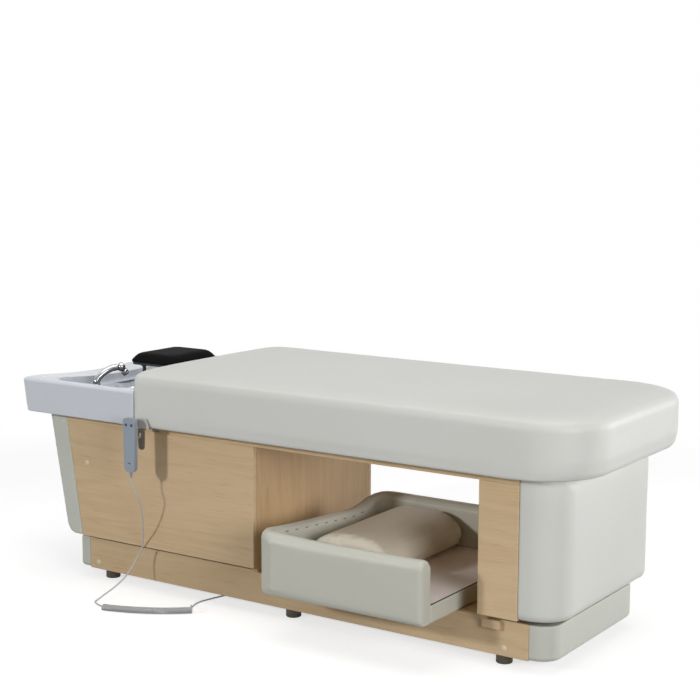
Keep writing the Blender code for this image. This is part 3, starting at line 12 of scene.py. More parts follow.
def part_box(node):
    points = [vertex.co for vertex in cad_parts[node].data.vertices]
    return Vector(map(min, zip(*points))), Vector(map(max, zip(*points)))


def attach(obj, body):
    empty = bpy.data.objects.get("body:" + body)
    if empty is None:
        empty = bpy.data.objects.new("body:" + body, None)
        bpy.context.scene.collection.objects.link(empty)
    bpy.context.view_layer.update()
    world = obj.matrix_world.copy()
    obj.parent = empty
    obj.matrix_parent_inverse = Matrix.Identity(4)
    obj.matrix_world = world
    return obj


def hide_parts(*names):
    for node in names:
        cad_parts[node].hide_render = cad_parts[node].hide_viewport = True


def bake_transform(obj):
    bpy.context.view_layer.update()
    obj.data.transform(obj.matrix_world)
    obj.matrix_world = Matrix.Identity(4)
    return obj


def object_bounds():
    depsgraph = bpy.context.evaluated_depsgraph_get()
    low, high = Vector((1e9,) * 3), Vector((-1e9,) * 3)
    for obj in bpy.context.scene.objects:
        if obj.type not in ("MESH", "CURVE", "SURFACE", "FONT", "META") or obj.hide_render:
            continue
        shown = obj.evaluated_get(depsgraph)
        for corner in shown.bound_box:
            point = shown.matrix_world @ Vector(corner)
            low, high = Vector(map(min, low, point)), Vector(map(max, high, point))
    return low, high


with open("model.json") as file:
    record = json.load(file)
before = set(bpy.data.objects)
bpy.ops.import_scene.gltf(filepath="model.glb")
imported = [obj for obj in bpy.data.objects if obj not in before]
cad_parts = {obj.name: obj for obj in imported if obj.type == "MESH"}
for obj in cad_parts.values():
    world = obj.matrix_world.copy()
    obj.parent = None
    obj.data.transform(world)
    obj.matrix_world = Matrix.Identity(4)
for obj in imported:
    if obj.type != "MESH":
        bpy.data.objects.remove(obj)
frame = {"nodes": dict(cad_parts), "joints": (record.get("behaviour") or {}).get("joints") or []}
cadLow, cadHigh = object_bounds()
nodes = frame["nodes"]
joints = {joint["name"]: joint for joint in frame["joints"]}
bpy.context.scene.view_settings.view_transform = "Standard"
print("frame loaded:", len(nodes), "solids")

# the bed's own axes: x from the mattress's head end, y from its middle line, z from the floor
mattressLow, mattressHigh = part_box("mattress")
bedStart = Vector((mattressLow.x, (mattressLow.y + mattressHigh.y) / 2, 0))
gap = 0.0003  # left between pieces that meet


def onBed(x, y, z):
    return bedStart + Vector((x, y, z))


def middleOf(node):
    low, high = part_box(node)
    return (low + high) / 2


def tone(red, green, blue):
    # screen colour, 0 to 255, as the linear colour that shaders take
    shares = [value / 255 for value in (red, green, blue)]
    linear = [((s + 0.055) / 1.055) ** 2.4 if s > 0.04 else s / 12.92 for s in shares]
    return (*linear, 1.0)


# making and dressing pieces
def placed(name, data):
    item = bpy.data.objects.new(name, data)
    bpy.context.scene.collection.objects.link(item)
    return item


def newPiece(name, mesh, body, material, stands=()):
    piece = placed(name, mesh)
    mesh.materials.clear()
    mesh.materials.append(material)
    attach(piece, body)
    if stands:
        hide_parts(*stands)
    return piece


def finishMesh(name, bm, sharp=35):
    bmesh.ops.recalc_face_normals(bm, faces=bm.faces)
    mesh = bpy.data.meshes.new(name)
    bm.to_mesh(mesh)
    bm.free()
    mesh.shade_smooth()
    mesh.set_sharp_from_angle(angle=math.radians(sharp))
    return mesh


def subdivide(piece, levels=1):
    step = piece.modifiers.new("subdivide", "SUBSURF")
    step.levels = levels
    step.render_levels = levels
    return piece


def roundEdges(piece, width):
    step = piece.modifiers.new("roundEdges", "BEVEL")
    step.width = width
    step.segments = 2
    step.limit_method = "ANGLE"
    step.angle_limit = math.radians(35)
    step.harden_normals = True
    return piece


def cleanCopy(node):
    # a node's solid, welded and with its flat faces joined up again
    bm = bmesh.new()
    bm.from_mesh(nodes[node].data)
    bmesh.ops.remove_doubles(bm, verts=bm.verts, dist=0.00002)
    bmesh.ops.dissolve_limit(bm, angle_limit=math.radians(0.5), verts=bm.verts, edges=bm.edges)
    return bm


def redressed(node, body, material, width):
    # the CAD shape with rounded edges and smooth curves
    words = node.split("_")
    name = words[0] + "".join(word.capitalize() for word in words[1:]) + "Shell"
    piece = newPiece(name, finishMesh(name, cleanCopy(node), 30), body, material, [node])
    return roundEdges(piece, width)


def lathed(name, profile, place, segments=48):
    # (radius, height) pairs spun about the place's own z
    bm = bmesh.new()
    turns = [2 * math.pi * k / segments for k in range(segments)]
    rows = []
    for radius, height in profile:
        if radius < 0.00001:
            rows.append([bm.verts.new(place @ Vector((0, 0, height)))])
            continue
        ring = [Vector((radius * math.cos(t), radius * math.sin(t), height)) for t in turns]
        rows.append([bm.verts.new(place @ point) for point in ring])
    for upper, lower in zip(rows, rows[1:]):
        for k in range(segments):
            steps = ((upper, k), (upper, k + 1), (lower, k + 1), (lower, k))
            loop = [row[j % len(row)] for row, j in steps]
            bm.faces.new(list(dict.fromkeys(loop)))
    return finishMesh(name, bm, 32)


def turned(name, profile, place, body, plastic, stands=(), segments=48):
    return newPiece(name, lathed(name, profile, place, segments), body, plastics[plastic], stands)


def aimed(start, direction):
    return Matrix.Translation(start) @ Vector(direction).to_track_quat("Z", "Y").to_matrix().to_4x4()


def lofted(name, rings, closed=True):
    bm = bmesh.new()
    rows = [[bm.verts.new(point) for point in ring] for ring in rings]
    for first, second in zip(rows, rows[1:]):
        for k in range(len(first)):
            bm.faces.new((first[k - 1], first[k], second[k], second[k - 1]))
    if closed:
        bm.faces.new(rows[0])
        bm.faces.new(rows[-1])
    return finishMesh(name, bm, 60)


def smoothLine(points, step):
    # even points on a curve through the chosen ones, straight where it starts and ends
    chosen = [Vector(point) for point in points]
    chosen.insert(1, (chosen[0] + chosen[1]) / 2)
    chosen.insert(-1, (chosen[-1] + chosen[-2]) / 2)
    padded = [2 * chosen[0] - chosen[1], *chosen, 2 * chosen[-1] - chosen[-2]]
    fine = []
    for a, b, c, d in zip(padded, padded[1:], padded[2:], padded[3:]):
        for k in range(24):
            t = k / 24
            fine.append(0.5 * (2 * b + (c - a) * t + (2 * a - 5 * b + 4 * c - d) * t ** 2
                               + (3 * b - a - 3 * c + d) * t ** 3))
    fine.append(chosen[-1])
    reach = np.cumsum([0.0] + [(b - a).length for a, b in zip(fine, fine[1:])])
    wanted = np.linspace(0, reach[-1], max(2, round(reach[-1] / step)) + 1)
    axes = [np.interp(wanted, reach, [point[i] for point in fine]) for i in range(3)]
    return [Vector(point) for point in zip(*axes)]


def swept(name, points, radii, sides=12):
    # round tube along points, with one radius for each of them
    bm = bmesh.new()
    points = [Vector(point) for point in points]
    runs = [(b - a).normalized() for a, b in zip(points, points[1:])]
    runs = [runs[0]] + [(a + b).normalized() for a, b in zip(runs, runs[1:])] + [runs[-1]]
    side = runs[0].orthogonal().normalized()
    turns = [2 * math.pi * k / sides for k in range(sides)]
    rows = []
    for point, run, radius in zip(points, runs, radii):
        side = (side - run * side.dot(run)).normalized()
        other = run.cross(side)
        spokes = [radius * (math.cos(t) * side + math.sin(t) * other) for t in turns]
        rows.append([bm.verts.new(point + spoke) for spoke in spokes])
    for first, second in zip(rows, rows[1:]):
        for k in range(sides):
            bm.faces.new((first[k - 1], first[k], second[k], second[k - 1]))
    bm.faces.new(rows[0])
    bm.faces.new(rows[-1])
    return finishMesh(name, bm, 50)


# shader groups that several finishes share, each giving a colour, a roughness and a height
def newGroup(name, inputs):
    group = bpy.data.node_groups.new(name, "ShaderNodeTree")
    for label, kind in inputs.items():
        group.interface.new_socket(label, in_out="INPUT", socket_type="NodeSocket" + kind)
    for label, kind in (("Color", "Color"), ("Roughness", "Float"), ("Height", "Float")):
        group.interface.new_socket(label, in_out="OUTPUT", socket_type="NodeSocket" + kind)
    return group, group.nodes.new("NodeGroupInput").outputs, group.nodes.new("NodeGroupOutput").inputs


def addNode(tree, kind, values=None, **settings):
    node = tree.nodes.new("ShaderNode" + kind)
    for key, value in settings.items():
        setattr(node, key, value)
    for key, value in (values or {}).items():
        if isinstance(value, bpy.types.NodeSocket):
            tree.links.new(value, node.inputs[key])
        else:
            node.inputs[key].default_value = value
    return node


def maths(tree, operation, first, second=0.0):
    return addNode(tree, "Math", {0: first, 1: second}, operation=operation).outputs[0]


def between(tree, share, low, high):
    # share from 0 to 1 as a value from low to high
    node = addNode(tree, "MapRange", {"Value": share, "To Min": low, "To Max": high})
    return node.outputs["Result"]


def blended(tree, share, first, second, style="MIX"):
    node = addNode(tree, "Mix", {}, data_type="RGBA", blend_type=style)
    for index, value in ((0, share), (6, first), (7, second)):
        if isinstance(value, bpy.types.NodeSocket):
            tree.links.new(value, node.inputs[index])
        else:
            node.inputs[index].default_value = value
    return node.outputs[2]


def noiseOf(tree, place, scale, detail=3.0, rough=0.5, distortion=0.0):
    values = {"Vector": place, "Scale": scale, "Detail": detail, "Roughness": rough, "Distortion": distortion}
    return addNode(tree, "TexNoise", values).outputs["Fac"]


def makeHide():
    # soft synthetic leather: fine pebbles, darker in their grooves as painted shade, faint stretch marks and
    # slow changes of tone
    group, given, wanted = newGroup("softHide", {
        "Place": "Vector", "Pebble Scale": "Float", "Crease": "Float", "Tone": "Color", "Low Tone": "Color",
        "Gloss": "Float",
    })
    place = given["Place"]
    values = {"Vector": place, "Scale": given["Pebble Scale"]}
    pebble = addNode(group, "TexVoronoi", values, feature="SMOOTH_F1").outputs["Distance"]
    slow = noiseOf(group, place, 2.3, 2.0)
    creases = noiseOf(group, place, 38.0, 4.0, 0.6, 0.8)
    share = maths(group, "ADD", between(group, slow, -0.25, 0.85), maths(group, "MULTIPLY", creases, 0.25))
    # the pebbles' grooves take more of the low tone: painted shade, beside the slow random tone
    share = maths(group, "ADD", share, maths(group, "MULTIPLY", pebble, 0.18))
    group.links.new(blended(group, share, given["Tone"], given["Low Tone"]), wanted["Color"])
    spread = between(group, creases, -0.07, 0.09)
    group.links.new(maths(group, "ADD", given["Gloss"], spread), wanted["Roughness"])
    folds = maths(group, "MULTIPLY", creases, given["Crease"])
    group.links.new(maths(group, "SUBTRACT", folds, maths(group, "MULTIPLY", pebble, 0.35)), wanted["Height"])
    return group


def makeGrain():
    # sliced oak veneer with its grain along the place's x
    group, given, wanted = newGroup("oakGrain", {
        "Place": "Vector", "Tone": "Color", "Line Tone": "Color", "Figure": "Float",
    })

    def stretched(x, across):
        return addNode(group, "Mapping", {"Vector": given["Place"], "Scale": (x, across, across)}).outputs[0]

    def peaks(noise, low, high):
        values = {"Value": noise, "From Min": low, "From Max": high}
        return addNode(group, "MapRange", values).outputs["Result"]

    figure = noiseOf(group, stretched(0.9, 7.0), given["Figure"], 2.0, 0.45, 0.6)
    rings = addNode(group, "Math", {0: maths(group, "MULTIPLY", figure, 46.0)}, operation="SINE").outputs[0]
    lines = between(group, maths(group, "MULTIPLY_ADD", rings, 0.5), 0.0, 1.0)
    fibres = noiseOf(group, stretched(6.0, 260.0), 1.0, 3.0, 0.6)
    ticks = peaks(noiseOf(group, stretched(22.0, 700.0), 1.0, 1.0), 0.62, 0.74)
    flecks = peaks(noiseOf(group, stretched(11.0, 130.0), 1.0, 2.0, 0.55), 0.58, 0.72)
    slow = noiseOf(group, stretched(0.8, 3.0), 1.0, 2.0)
    share = maths(group, "ADD", maths(group, "MULTIPLY", lines, 0.20), between(group, fibres, -0.18, 0.42))
    share = maths(group, "ADD", share, maths(group, "MULTIPLY", flecks, 0.38))
    share = maths(group, "ADD", share, between(group, slow, -0.25, 0.40))
    share = maths(group, "ADD", share, maths(group, "MULTIPLY", ticks, 0.16))
    group.links.new(blended(group, share, given["Tone"], given["Line Tone"]), wanted["Color"])
    group.links.new(between(group, fibres, 0.36, 0.56), wanted["Roughness"])
    group.links.new(maths(group, "SUBTRACT", maths(group, "MULTIPLY", fibres, 0.4), ticks), wanted["Height"])
    return group


def makeMoulded():
    # moulded or glazed skin: fine speckle, slow tone, faint handling marks
    group, given, wanted = newGroup("mouldedSkin", {
        "Place": "Vector", "Speckle Scale": "Float", "Tone": "Color", "Low Tone": "Color", "Gloss": "Float",
        "Marks": "Float",
    })
    place = given["Place"]
    speckle = noiseOf(group, place, given["Speckle Scale"], 1.0)
    slow = noiseOf(group, place, 5.0, 3.0)
    marks = noiseOf(group, place, 24.0, 4.0, 0.65, 1.2)
    share = maths(group, "ADD", between(group, slow, -0.2, 0.8), between(group, speckle, -0.15, 0.15))
    group.links.new(blended(group, share, given["Tone"], given["Low Tone"]), wanted["Color"])
    rub = maths(group, "MULTIPLY", between(group, marks, -0.5, 0.5), given["Marks"])
    group.links.new(maths(group, "ADD", given["Gloss"], rub), wanted["Roughness"])
    group.links.new(speckle, wanted["Height"])
    return group


softHide, oakGrain, mouldedSkin = makeHide(), makeGrain(), makeMoulded()


# finishes
def newFinish(name, group, values, bump, turn=(0, 0, 0), shift=(0, 0, 0)):
    # bump is (strength, depth in metres)
    material = bpy.data.materials.new(name)
    material.use_nodes = True
    tree = material.node_tree
    shader = tree.nodes["Principled BSDF"]
    spot = addNode(tree, "TexCoord").outputs["Object"]
    place = addNode(tree, "Mapping", {"Vector": spot, "Rotation": turn, "Location": shift}).outputs[0]
    node = tree.nodes.new("ShaderNodeGroup")
    node.node_tree = group
    tree.links.new(place, node.inputs["Place"])
    for key, value in values.items():
        node.inputs[key].default_value = value
    tree.links.new(node.outputs["Color"], shader.inputs["Base Color"])
    tree.links.new(node.outputs["Roughness"], shader.inputs["Roughness"])
    strength, depth = bump
    lift = addNode(tree, "Bump", {"Strength": strength, "Distance": depth, "Height": node.outputs["Height"]})
    tree.links.new(lift.outputs[0], shader.inputs["Normal"])
    return material, shader


def hideFinish(name, look):
    values = {"Tone": tone(*look["tone"]), "Low Tone": tone(*look["lowTone"]), "Gloss": look["gloss"],
              "Crease": look["crease"], "Pebble Scale": look["pebble"]}
    material, shader = newFinish(name, softHide, values, look["bump"])
    shader.inputs["Specular IOR Level"].default_value = look["sheen"]
    return material


def oakFinish(name, look, turn, shift):
    values = {"Tone": tone(*look["tone"]), "Line Tone": tone(*look["lineTone"]), "Figure": oakSet["figure"]}
    material, shader = newFinish(name, oakGrain, values, oakSet["bump"], turn, shift)
    shader.inputs["Specular IOR Level"].default_value = oakSet["sheen"]
    return material


def mouldedFinish(name, look, metallic=0.0):
    values = {"Tone": tone(*look["tone"]), "Low Tone": tone(*look["lowTone"]), "Gloss": look["gloss"],
              "Marks": look["marks"], "Speckle Scale": look["speckle"]}
    material, shader = newFinish(name, mouldedSkin, values, look["bump"])
    shader.inputs["Metallic"].default_value = metallic
    shader.inputs["Coat Weight"].default_value = look.get("coat", 0.0)
    shader.inputs["Coat Roughness"].default_value = 0.06
    return material


def paintedReflectionFinish(name, look):
    # bright metal with a painted reflection: its base tone follows the slope in bands, standing for a room
    # reflected in it
    material = mouldedFinish(name, look, metallic=1.0)
    tree = material.node_tree
    shader = tree.nodes["Principled BSDF"]
    plain = shader.inputs["Base Color"].links[0].from_socket
    slope = addNode(tree, "SeparateXYZ", {0: addNode(tree, "NewGeometry").outputs["Normal"]}).outputs["Z"]
    upward = addNode(tree, "MapRange", {"Value": slope, "From Min": -1.0}).outputs["Result"]
    ramp = addNode(tree, "ValToRGB", {"Fac": upward})
    stops = ramp.color_ramp.elements
    for at, value in look["bands"][1:-1]:
        stops.new(at)
    for stop, (at, value) in zip(stops, look["bands"]):
        stop.position = at
        stop.color = (value, value, value, 1)
    # the painted reflection multiplies the metal's base tone
    tree.links.new(blended(tree, 1.0, plain, ramp.outputs["Color"], "MULTIPLY"), shader.inputs["Base Color"])
    return material


# tones are screen colours, and bump is (strength, depth in metres)
hideKeys = ("tone", "lowTone", "gloss", "crease", "pebble", "bump", "sheen")
hideLooks = {
    "upholstery": ((222, 223, 218), (212, 213, 206), 0.46, 0.25, 620, (0.25, 0.0006), 0.40),
    # a darker copy of the upholstery for the head panel and the plinth ends: painted shade
    "plinthHide": ((210, 211, 201), (199, 200, 189), 0.46, 0.25, 620, (0.25, 0.0006), 0.40),
    "trayHide": ((212, 212, 201), (200, 200, 187), 0.46, 0.35, 620, (0.28, 0.0006), 0.40),
    "bolsterHide": ((227, 220, 204), (216, 207, 190), 0.52, 0.4, 560, (0.3, 0.0007), 0.35),
    "blackPad": ((13, 13, 14), (9, 9, 10), 0.72, 0.2, 800, (0.2, 0.0004), 0.06),
    "liner": ((250, 240, 235), (242, 230, 224), 0.40, 0.3, 520, (0.25, 0.0005), 0.4),
}
oakSet = {"figure": 1.0, "bump": (0.12, 0.0004), "sheen": 0.35, "cutShift": (0.37, 0.21, 0.13)}
oakLooks = {
    "panel": {"tone": (220, 194, 156), "lineTone": (196, 164, 122)},
    "inside": {"tone": (208, 178, 136), "lineTone": (180, 146, 104)},
}
mouldedKeys = ("tone", "lowTone", "gloss", "marks", "speckle", "bump", "coat")
mouldedLooks = {
    "basin": ((217, 222, 229), (211, 216, 224), 0.22, 0.06, 300, (0.02, 0.0003), 0.2),
    "handset": ((150, 160, 172), (140, 150, 162), 0.45, 0.1, 2200, (0.12, 0.0002)),
    "button": ((52, 54, 58), (42, 44, 48), 0.5, 0.1, 2600, (0.1, 0.0002)),
    "pipe": ((150, 154, 158), (138, 142, 146), 0.5, 0.1, 1500, (0.1, 0.0002)),
    "hose": ((96, 98, 102), (80, 82, 86), 0.5, 0.1, 1800, (0.15, 0.0003)),
    "cord": ((196, 195, 196), (184, 183, 184), 0.48, 0.08, 2400, (0.08, 0.0001)),
    "footRubber": ((80, 73, 60), (66, 60, 49), 0.6, 0.12, 1500, (0.2, 0.0003)),
    "steelPaint": ((140, 130, 116), (126, 116, 102), 0.42, 0.12, 1800, (0.15, 0.0002)),
    "blackPlastic": ((36, 36, 37), (28, 28, 29), 0.5, 0.1, 2000, (0.12, 0.0002)),
    "padFrame": ((16, 16, 17), (12, 12, 13), 0.6, 0.1, 2000, (0.12, 0.0002)),
    "capCream": ((228, 214, 186), (218, 202, 172), 0.35, 0.08, 2000, (0.05, 0.0001)),
    "capPale": ((216, 215, 202), (206, 205, 190), 0.35, 0.08, 2000, (0.05, 0.0001)),
    # white for the domes painted as the deck's two glints
    "capWhite": ((246, 247, 250), (240, 241, 245), 0.2, 0.05, 900, (0.03, 0.0001)),
    "circuit": ((36, 96, 62), (28, 80, 50), 0.4, 0.1, 900, (0.1, 0.0002)),
    # grey of the sheet painted as the handset's shadow on the mattress's side
    "plateGrey": ((196, 195, 187), (184, 183, 175), 0.45, 0.1, 1600, (0.12, 0.0002)),
    "thread": ((84, 78, 66), (70, 65, 54), 0.7, 0.1, 3000, (0.2, 0.0002)),
}
chromeLook = {
    "tone": (240, 240, 242), "lowTone": (228, 229, 232), "gloss": 0.08, "marks": 0.06, "speckle": 900,
    "bump": (0.01, 0.0002),
    # painted reflection: share of the way from facing down to facing up, and the painted tone there
    "bands": ((0, 0.30), (0.225, 0.10), (0.425, 0.30), (0.60, 0.42), (0.75, 0.36), (0.875, 0.75),
              (0.95, 0.30), (1, 0.06)),
}
hides = {name: hideFinish(name, dict(zip(hideKeys, row))) for name, row in hideLooks.items()}
plastics = {name: mouldedFinish(name, dict(zip(mouldedKeys, row))) for name, row in mouldedLooks.items()}
plastics["chrome"] = paintedReflectionFinish("chrome", chromeLook)
print("finishes made:", len(hides) + len(plastics))

# camera, fitted to the photograph's straight edges
cameraSet = {
    "place": (3.2321, -3.9737, 1.4892),  # on the bed's own axes
    "yaw": 33.8165, "pitch": 8.1039, "roll": 0.2395,  # degrees
    "lens": 77.566, "sensor": 36.0, "shiftY": 0.0074,
}


def makeCamera():
    yaw, pitch, roll = (math.radians(cameraSet[key]) for key in ("yaw", "pitch", "roll"))
    ahead = Vector((-math.sin(yaw) * math.cos(pitch), math.cos(yaw) * math.cos(pitch), -math.sin(pitch)))
    level = Vector((math.cos(yaw), math.sin(yaw), 0))
    up = level.cross(ahead)
    across = level * math.cos(roll) + up * math.sin(roll)
    upright = up * math.cos(roll) - level * math.sin(roll)
    data = bpy.data.cameras.new("photoCamera")
    data.sensor_width = cameraSet["sensor"]
    data.lens = cameraSet["lens"]
    data.shift_y = cameraSet["shiftY"]
    data.clip_end = 100
    camera = placed("photoCamera", data)
    place = Matrix((across, upright, -ahead)).transposed().to_4x4()
    place.translation = onBed(*cameraSet["place"])
    camera.matrix_world = place
    bpy.context.scene.camera = camera


makeCamera()
print("camera placed")

# curly cord from the handset's boot to the gland under the deck
cordSet = {
    "radius": 0.0024, "coilRadius": 0.0086, "turns": 52.5, "turnPoints": 16, "step": 0.004, "sides": 10,
    "tail": 0.0048,  # straight bit at each end of the curls
    "coilLine": ((-0.010, -0.5445), (0.130, -0.492), (0.2436, -0.4085)),  # head end, middle and foot end
    "follow": 0.06,  # length below the boot that gives when the handset is lifted
    "clear": 0.0002,  # over the floor
    # straight runs out of the boot, into the curls, out of the curls and into the gland
    "bootRun": 0.016, "joinRun": 0.020, "leaveRun": 0.016, "glandRun": 0.012,
}


def makeCord():
    lift = cordSet["coilRadius"] + cordSet["radius"] + cordSet["clear"]
    first, half, last = (onBed(x, y, lift) for x, y in cordSet["coilLine"])
    bend = 2 * half - (first + last) / 2

    def lineAt(t):
        return first * (1 - t) ** 2 + bend * 2 * t * (1 - t) + last * t ** 2

    def acrossAt(t):
        run = (bend - first) * (1 - t) + (last - bend) * t
        return Vector((-run.y, run.x, 0)).normalized()

    count = round(cordSet["turns"] * cordSet["turnPoints"])
    curls = []
    for k in range(count + 1):
        t = k / count
        angle = -math.pi / 2 - 2 * math.pi * cordSet["turns"] * t
        ring = math.cos(angle) * acrossAt(t) + Vector((0, 0, math.sin(angle)))
        curls.append(lineAt(t) + cordSet["coilRadius"] * ring)
    join = curls[0] + acrossAt(0) * (cordSet["tail"] + gap)
    leave = curls[-1] + acrossAt(1) * (cordSet["tail"] + gap)
    bootLow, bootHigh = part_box("handset_strain_relief")
    boot = Vector(((bootLow.x + bootHigh.x) / 2, (bootLow.y + bootHigh.y) / 2, bootLow.z - gap))
    glandLow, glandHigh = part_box("cord_gland")
    gland = Vector(((glandLow.x + glandHigh.x) / 2, (glandLow.y + glandHigh.y) / 2, glandLow.z - gap))
    floor = cordSet["radius"] + cordSet["clear"]
    upper = [boot, boot - Vector((0, 0, cordSet["bootRun"]))]
    upper += [onBed(*point) for point in (
        (0.0340, -0.4260, 0.358), (0.0357, -0.4120, 0.329), (0.0285, -0.3940, 0.282),
        (0.0129, -0.3740, 0.232), (-0.0085, -0.3520, 0.186), (-0.0200, -0.3430, 0.160),
        (-0.0300, -0.3440, 0.138), (-0.0402, -0.3540, 0.113), (-0.0479, -0.3770, 0.082),
        (-0.0554, -0.4050, 0.057), (-0.0660, -0.4350, 0.037), (-0.0800, -0.4610, 0.020),
        (-0.0900, -0.4760, 0.008), (-0.0930, -0.4890, floor), (-0.0850, -0.5010, floor),
        (-0.0680, -0.5110, floor), (-0.0450, -0.5190, floor), (-0.0250, -0.5230, floor),
    )]
    upper += [join + acrossAt(0) * cordSet["joinRun"], join]
    lower = [leave, leave + acrossAt(1) * cordSet["leaveRun"]]
    lower += [onBed(*point) for point in (
        (0.2230, -0.3820, 0.0120), (0.2080, -0.3600, floor + 0.002), (0.1960, -0.3350, floor),
        (0.1920, -0.3050, floor), (0.1970, -0.2750, floor), (0.2050, -0.2400, floor),
        (0.2150, -0.2050, floor), (0.2250, -0.1720, floor + 0.001), (0.2320, -0.1440, 0.012),
        (0.2350, -0.1290, 0.030),
    )]
    lower += [gland - Vector((0, 0, cordSet["glandRun"])), gland]
    path = smoothLine(upper, cordSet["step"]) + curls + smoothLine(lower, cordSet["step"])
    mesh = swept("handsetCord", path, [cordSet["radius"]] * len(path), cordSet["sides"])
    cord = placed("handsetCord", mesh)
    mesh.materials.append(plastics["cord"])
    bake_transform(cord)
    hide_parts("handset_cord_upper", "handset_cord_curls", "handset_cord_lower")


makeCord()

# woodwork: every board keeps its CAD solid and gets its own cut of veneer
# finish, the turn of its grain from the bed's length to upright in degrees, and its boards
boards = (
    ("panel", 0, ("cabinet_front_panel", "cabinet_back_panel", "plinth_front_board", "plinth_back_board",
                  "foot_post_front", "foot_post_back", "top_board")),
    ("inside", 90, ("cabinet_partition", "foot_partition")),
    ("inside", 0, ("base_deck", "base_frame")),
    ("panel", 0, ("cabinet_cleat", "post_cleat")),
)


def dressBoards():
    rows = [(look, turn, node) for look, turn, names in boards for node in names]
    for index, (look, turn, node) in enumerate(rows):
        shift = [step * index for step in oakSet["cutShift"]]
        name = "oak" + node.title().replace("_", "")
        material = oakFinish(name, oakLooks[look], (0, math.radians(turn), 0), shift)
        nodes[node].data.materials.clear()
        nodes[node].data.materials.append(material)
    print("boards veneered:", len(rows))


dressBoards()

# padded pieces: the CAD solid remeshed, puffed by cloth under pressure, held where it lies on something
paddedShared = {"body": "bed", "slot": "upholstery", "ease": 2, "cap": 0.0, "arcStep": 15}
paddedSet = {
    # voxel and cap in metres, pressure, directions whose faces lie on something, share of fill
    "mattress": {
        "piece": "mattressCover", "hide": "upholstery", "voxel": 0.011, "pressure": 4.0, "cap": 0.005,
        "held": [(0, 0, -1), (-1, 0, 0)], "fill": 0.85, "corner": (1.406, 0.220),
        "crisp": {"reach": 0.024, "crown": 0.010, "head": 5.0, "foot": 2.3, "from": 0.8, "to": 1.35},
    },
    "head_end_panel": {
        "piece": "headPanelCover", "hide": "plinthHide", "voxel": 0.006,
        "held": [(1, 0, 0), (0, 0, 1)], "fill": 0.9,
    },
    "foot_end_block": {
        "piece": "footBlockCover", "hide": "upholstery", "voxel": 0.008, "pressure": 3.0, "cap": 0.003,
        "held": [(-1, 0, 0), (0, 0, 1)], "fill": 0.9, "corner": (1.391, 0.240),
    },
    "plinth_head_end": {
        "piece": "plinthHeadCover", "hide": "plinthHide", "voxel": 0.005, "held": [(1, 0, 0)], "fill": 0.9,
    },
    "plinth_foot_end": {
        "piece": "plinthFootCover", "hide": "plinthHide", "voxel": 0.005, "held": [(-1, 0, 0)], "fill": 0.9,
        "corner": (1.3885, 0.2325),
    },
    "tray_wall": {
        "piece": "trayWallCover", "body": "tray", "hide": "trayHide", "voxel": 0.0065, "pressure": 4.0,
        "cap": 0.002, "held": [(0, 0, -1)], "fill": 0.8,
    },
    "tray_base": {
        "piece": "trayBaseCover", "body": "tray", "hide": "trayHide", "voxel": 0.007,
        "held": [], "fill": 0.95,
    },
    "bolster": {
        "piece": "bolsterCover", "body": "bolster", "hide": "bolsterHide", "slot": "bolster_cover",
        "voxel": 0.0055, "ease": 1, "pressure": 4.0, "cap": 0.003, "held": [(0, 0, -1)], "fill": 0.75,
    },
    "neck_pad": {
        "piece": "neckPadCover", "body": "neck_pad", "hide": "blackPad", "slot": "pad_cover", "voxel": 0.005,
        "pressure": 4.0, "cap": 0.003, "held": [(0, 0, -1)], "fill": 0.7, "stretch": (1.08, 1.08, 1.0),
    },
}
clothSet = {
    "quality": 3, "mass": 0.2, "frames": 20, "easeShare": 0.5,
    "merge": 0.0035, "sharp": 50, "edgeReach": 1.5,  # metres, degrees, and voxels
    "heldFrom": 0.75, "heldOver": 0.35,  # how squarely a face lies on something before it is held
}


def evaluatedMesh(piece):
    graph = bpy.context.evaluated_depsgraph_get()
    return bpy.data.meshes.new_from_object(piece.evaluated_get(graph))


def pointsOf(mesh):
    points = np.zeros(len(mesh.vertices) * 3, np.float32)
    mesh.vertices.foreach_get("co", points)
    return points.reshape(-1, 3)


def normalsOf(mesh):
    normals = np.zeros(len(mesh.vertices) * 3, np.float32)
    mesh.vertices.foreach_get("normal", normals)
    return normals.reshape(-1, 3)


def edgePoints(node, spacing):
    # points along a solid's sharp edges, with arcs too small for the grid drawn together
    bm = cleanCopy(node)
    bmesh.ops.remove_doubles(bm, verts=bm.verts, dist=clothSet["merge"])
    points = []
    for edge in bm.edges:
        if len(edge.link_faces) < 2 or edge.calc_face_angle() < math.radians(clothSet["sharp"]):
            continue
        first, last = (vert.co.copy() for vert in edge.verts)
        count = max(1, round((last - first).length / spacing))
        points += [first.lerp(last, k / count) for k in range(count + 1)]
    bm.free()
    return points


def drawnToEdges(rest, points, reach):
    # each edge point takes the nearest vertex, and those vertices are told apart
    tree = KDTree(len(rest))
    for index, point in enumerate(rest):
        tree.insert(point, index)
    tree.balance()
    taken = {}
    for point in points:
        spot, index, far = tree.find(point)
        if far < reach and far < taken.get(index, (reach, None))[0]:
            taken[index] = (far, point)
    for index, (far, point) in taken.items():
        rest[index] = point
    return np.array(sorted(taken), int)


def trueCorners(rest, look):
    # the solid's flat steps round the foot end's corners, turned into arcs
    step = math.radians(look["arcStep"])
    ahead, aside = look["corner"]
    for side in (-1, 1):
        along = rest[:, 0] - bedStart.x - ahead
        across = side * (rest[:, 1] - bedStart.y) - aside
        off = np.arctan2(across, along) % step - step / 2
        grow = np.where((along > 0) & (across > 0), np.cos(off) / math.cos(step / 2), 1)
        rest[:, 0] = bedStart.x + ahead + along * grow
        rest[:, 1] = bedStart.y + side * (aside + across * grow)


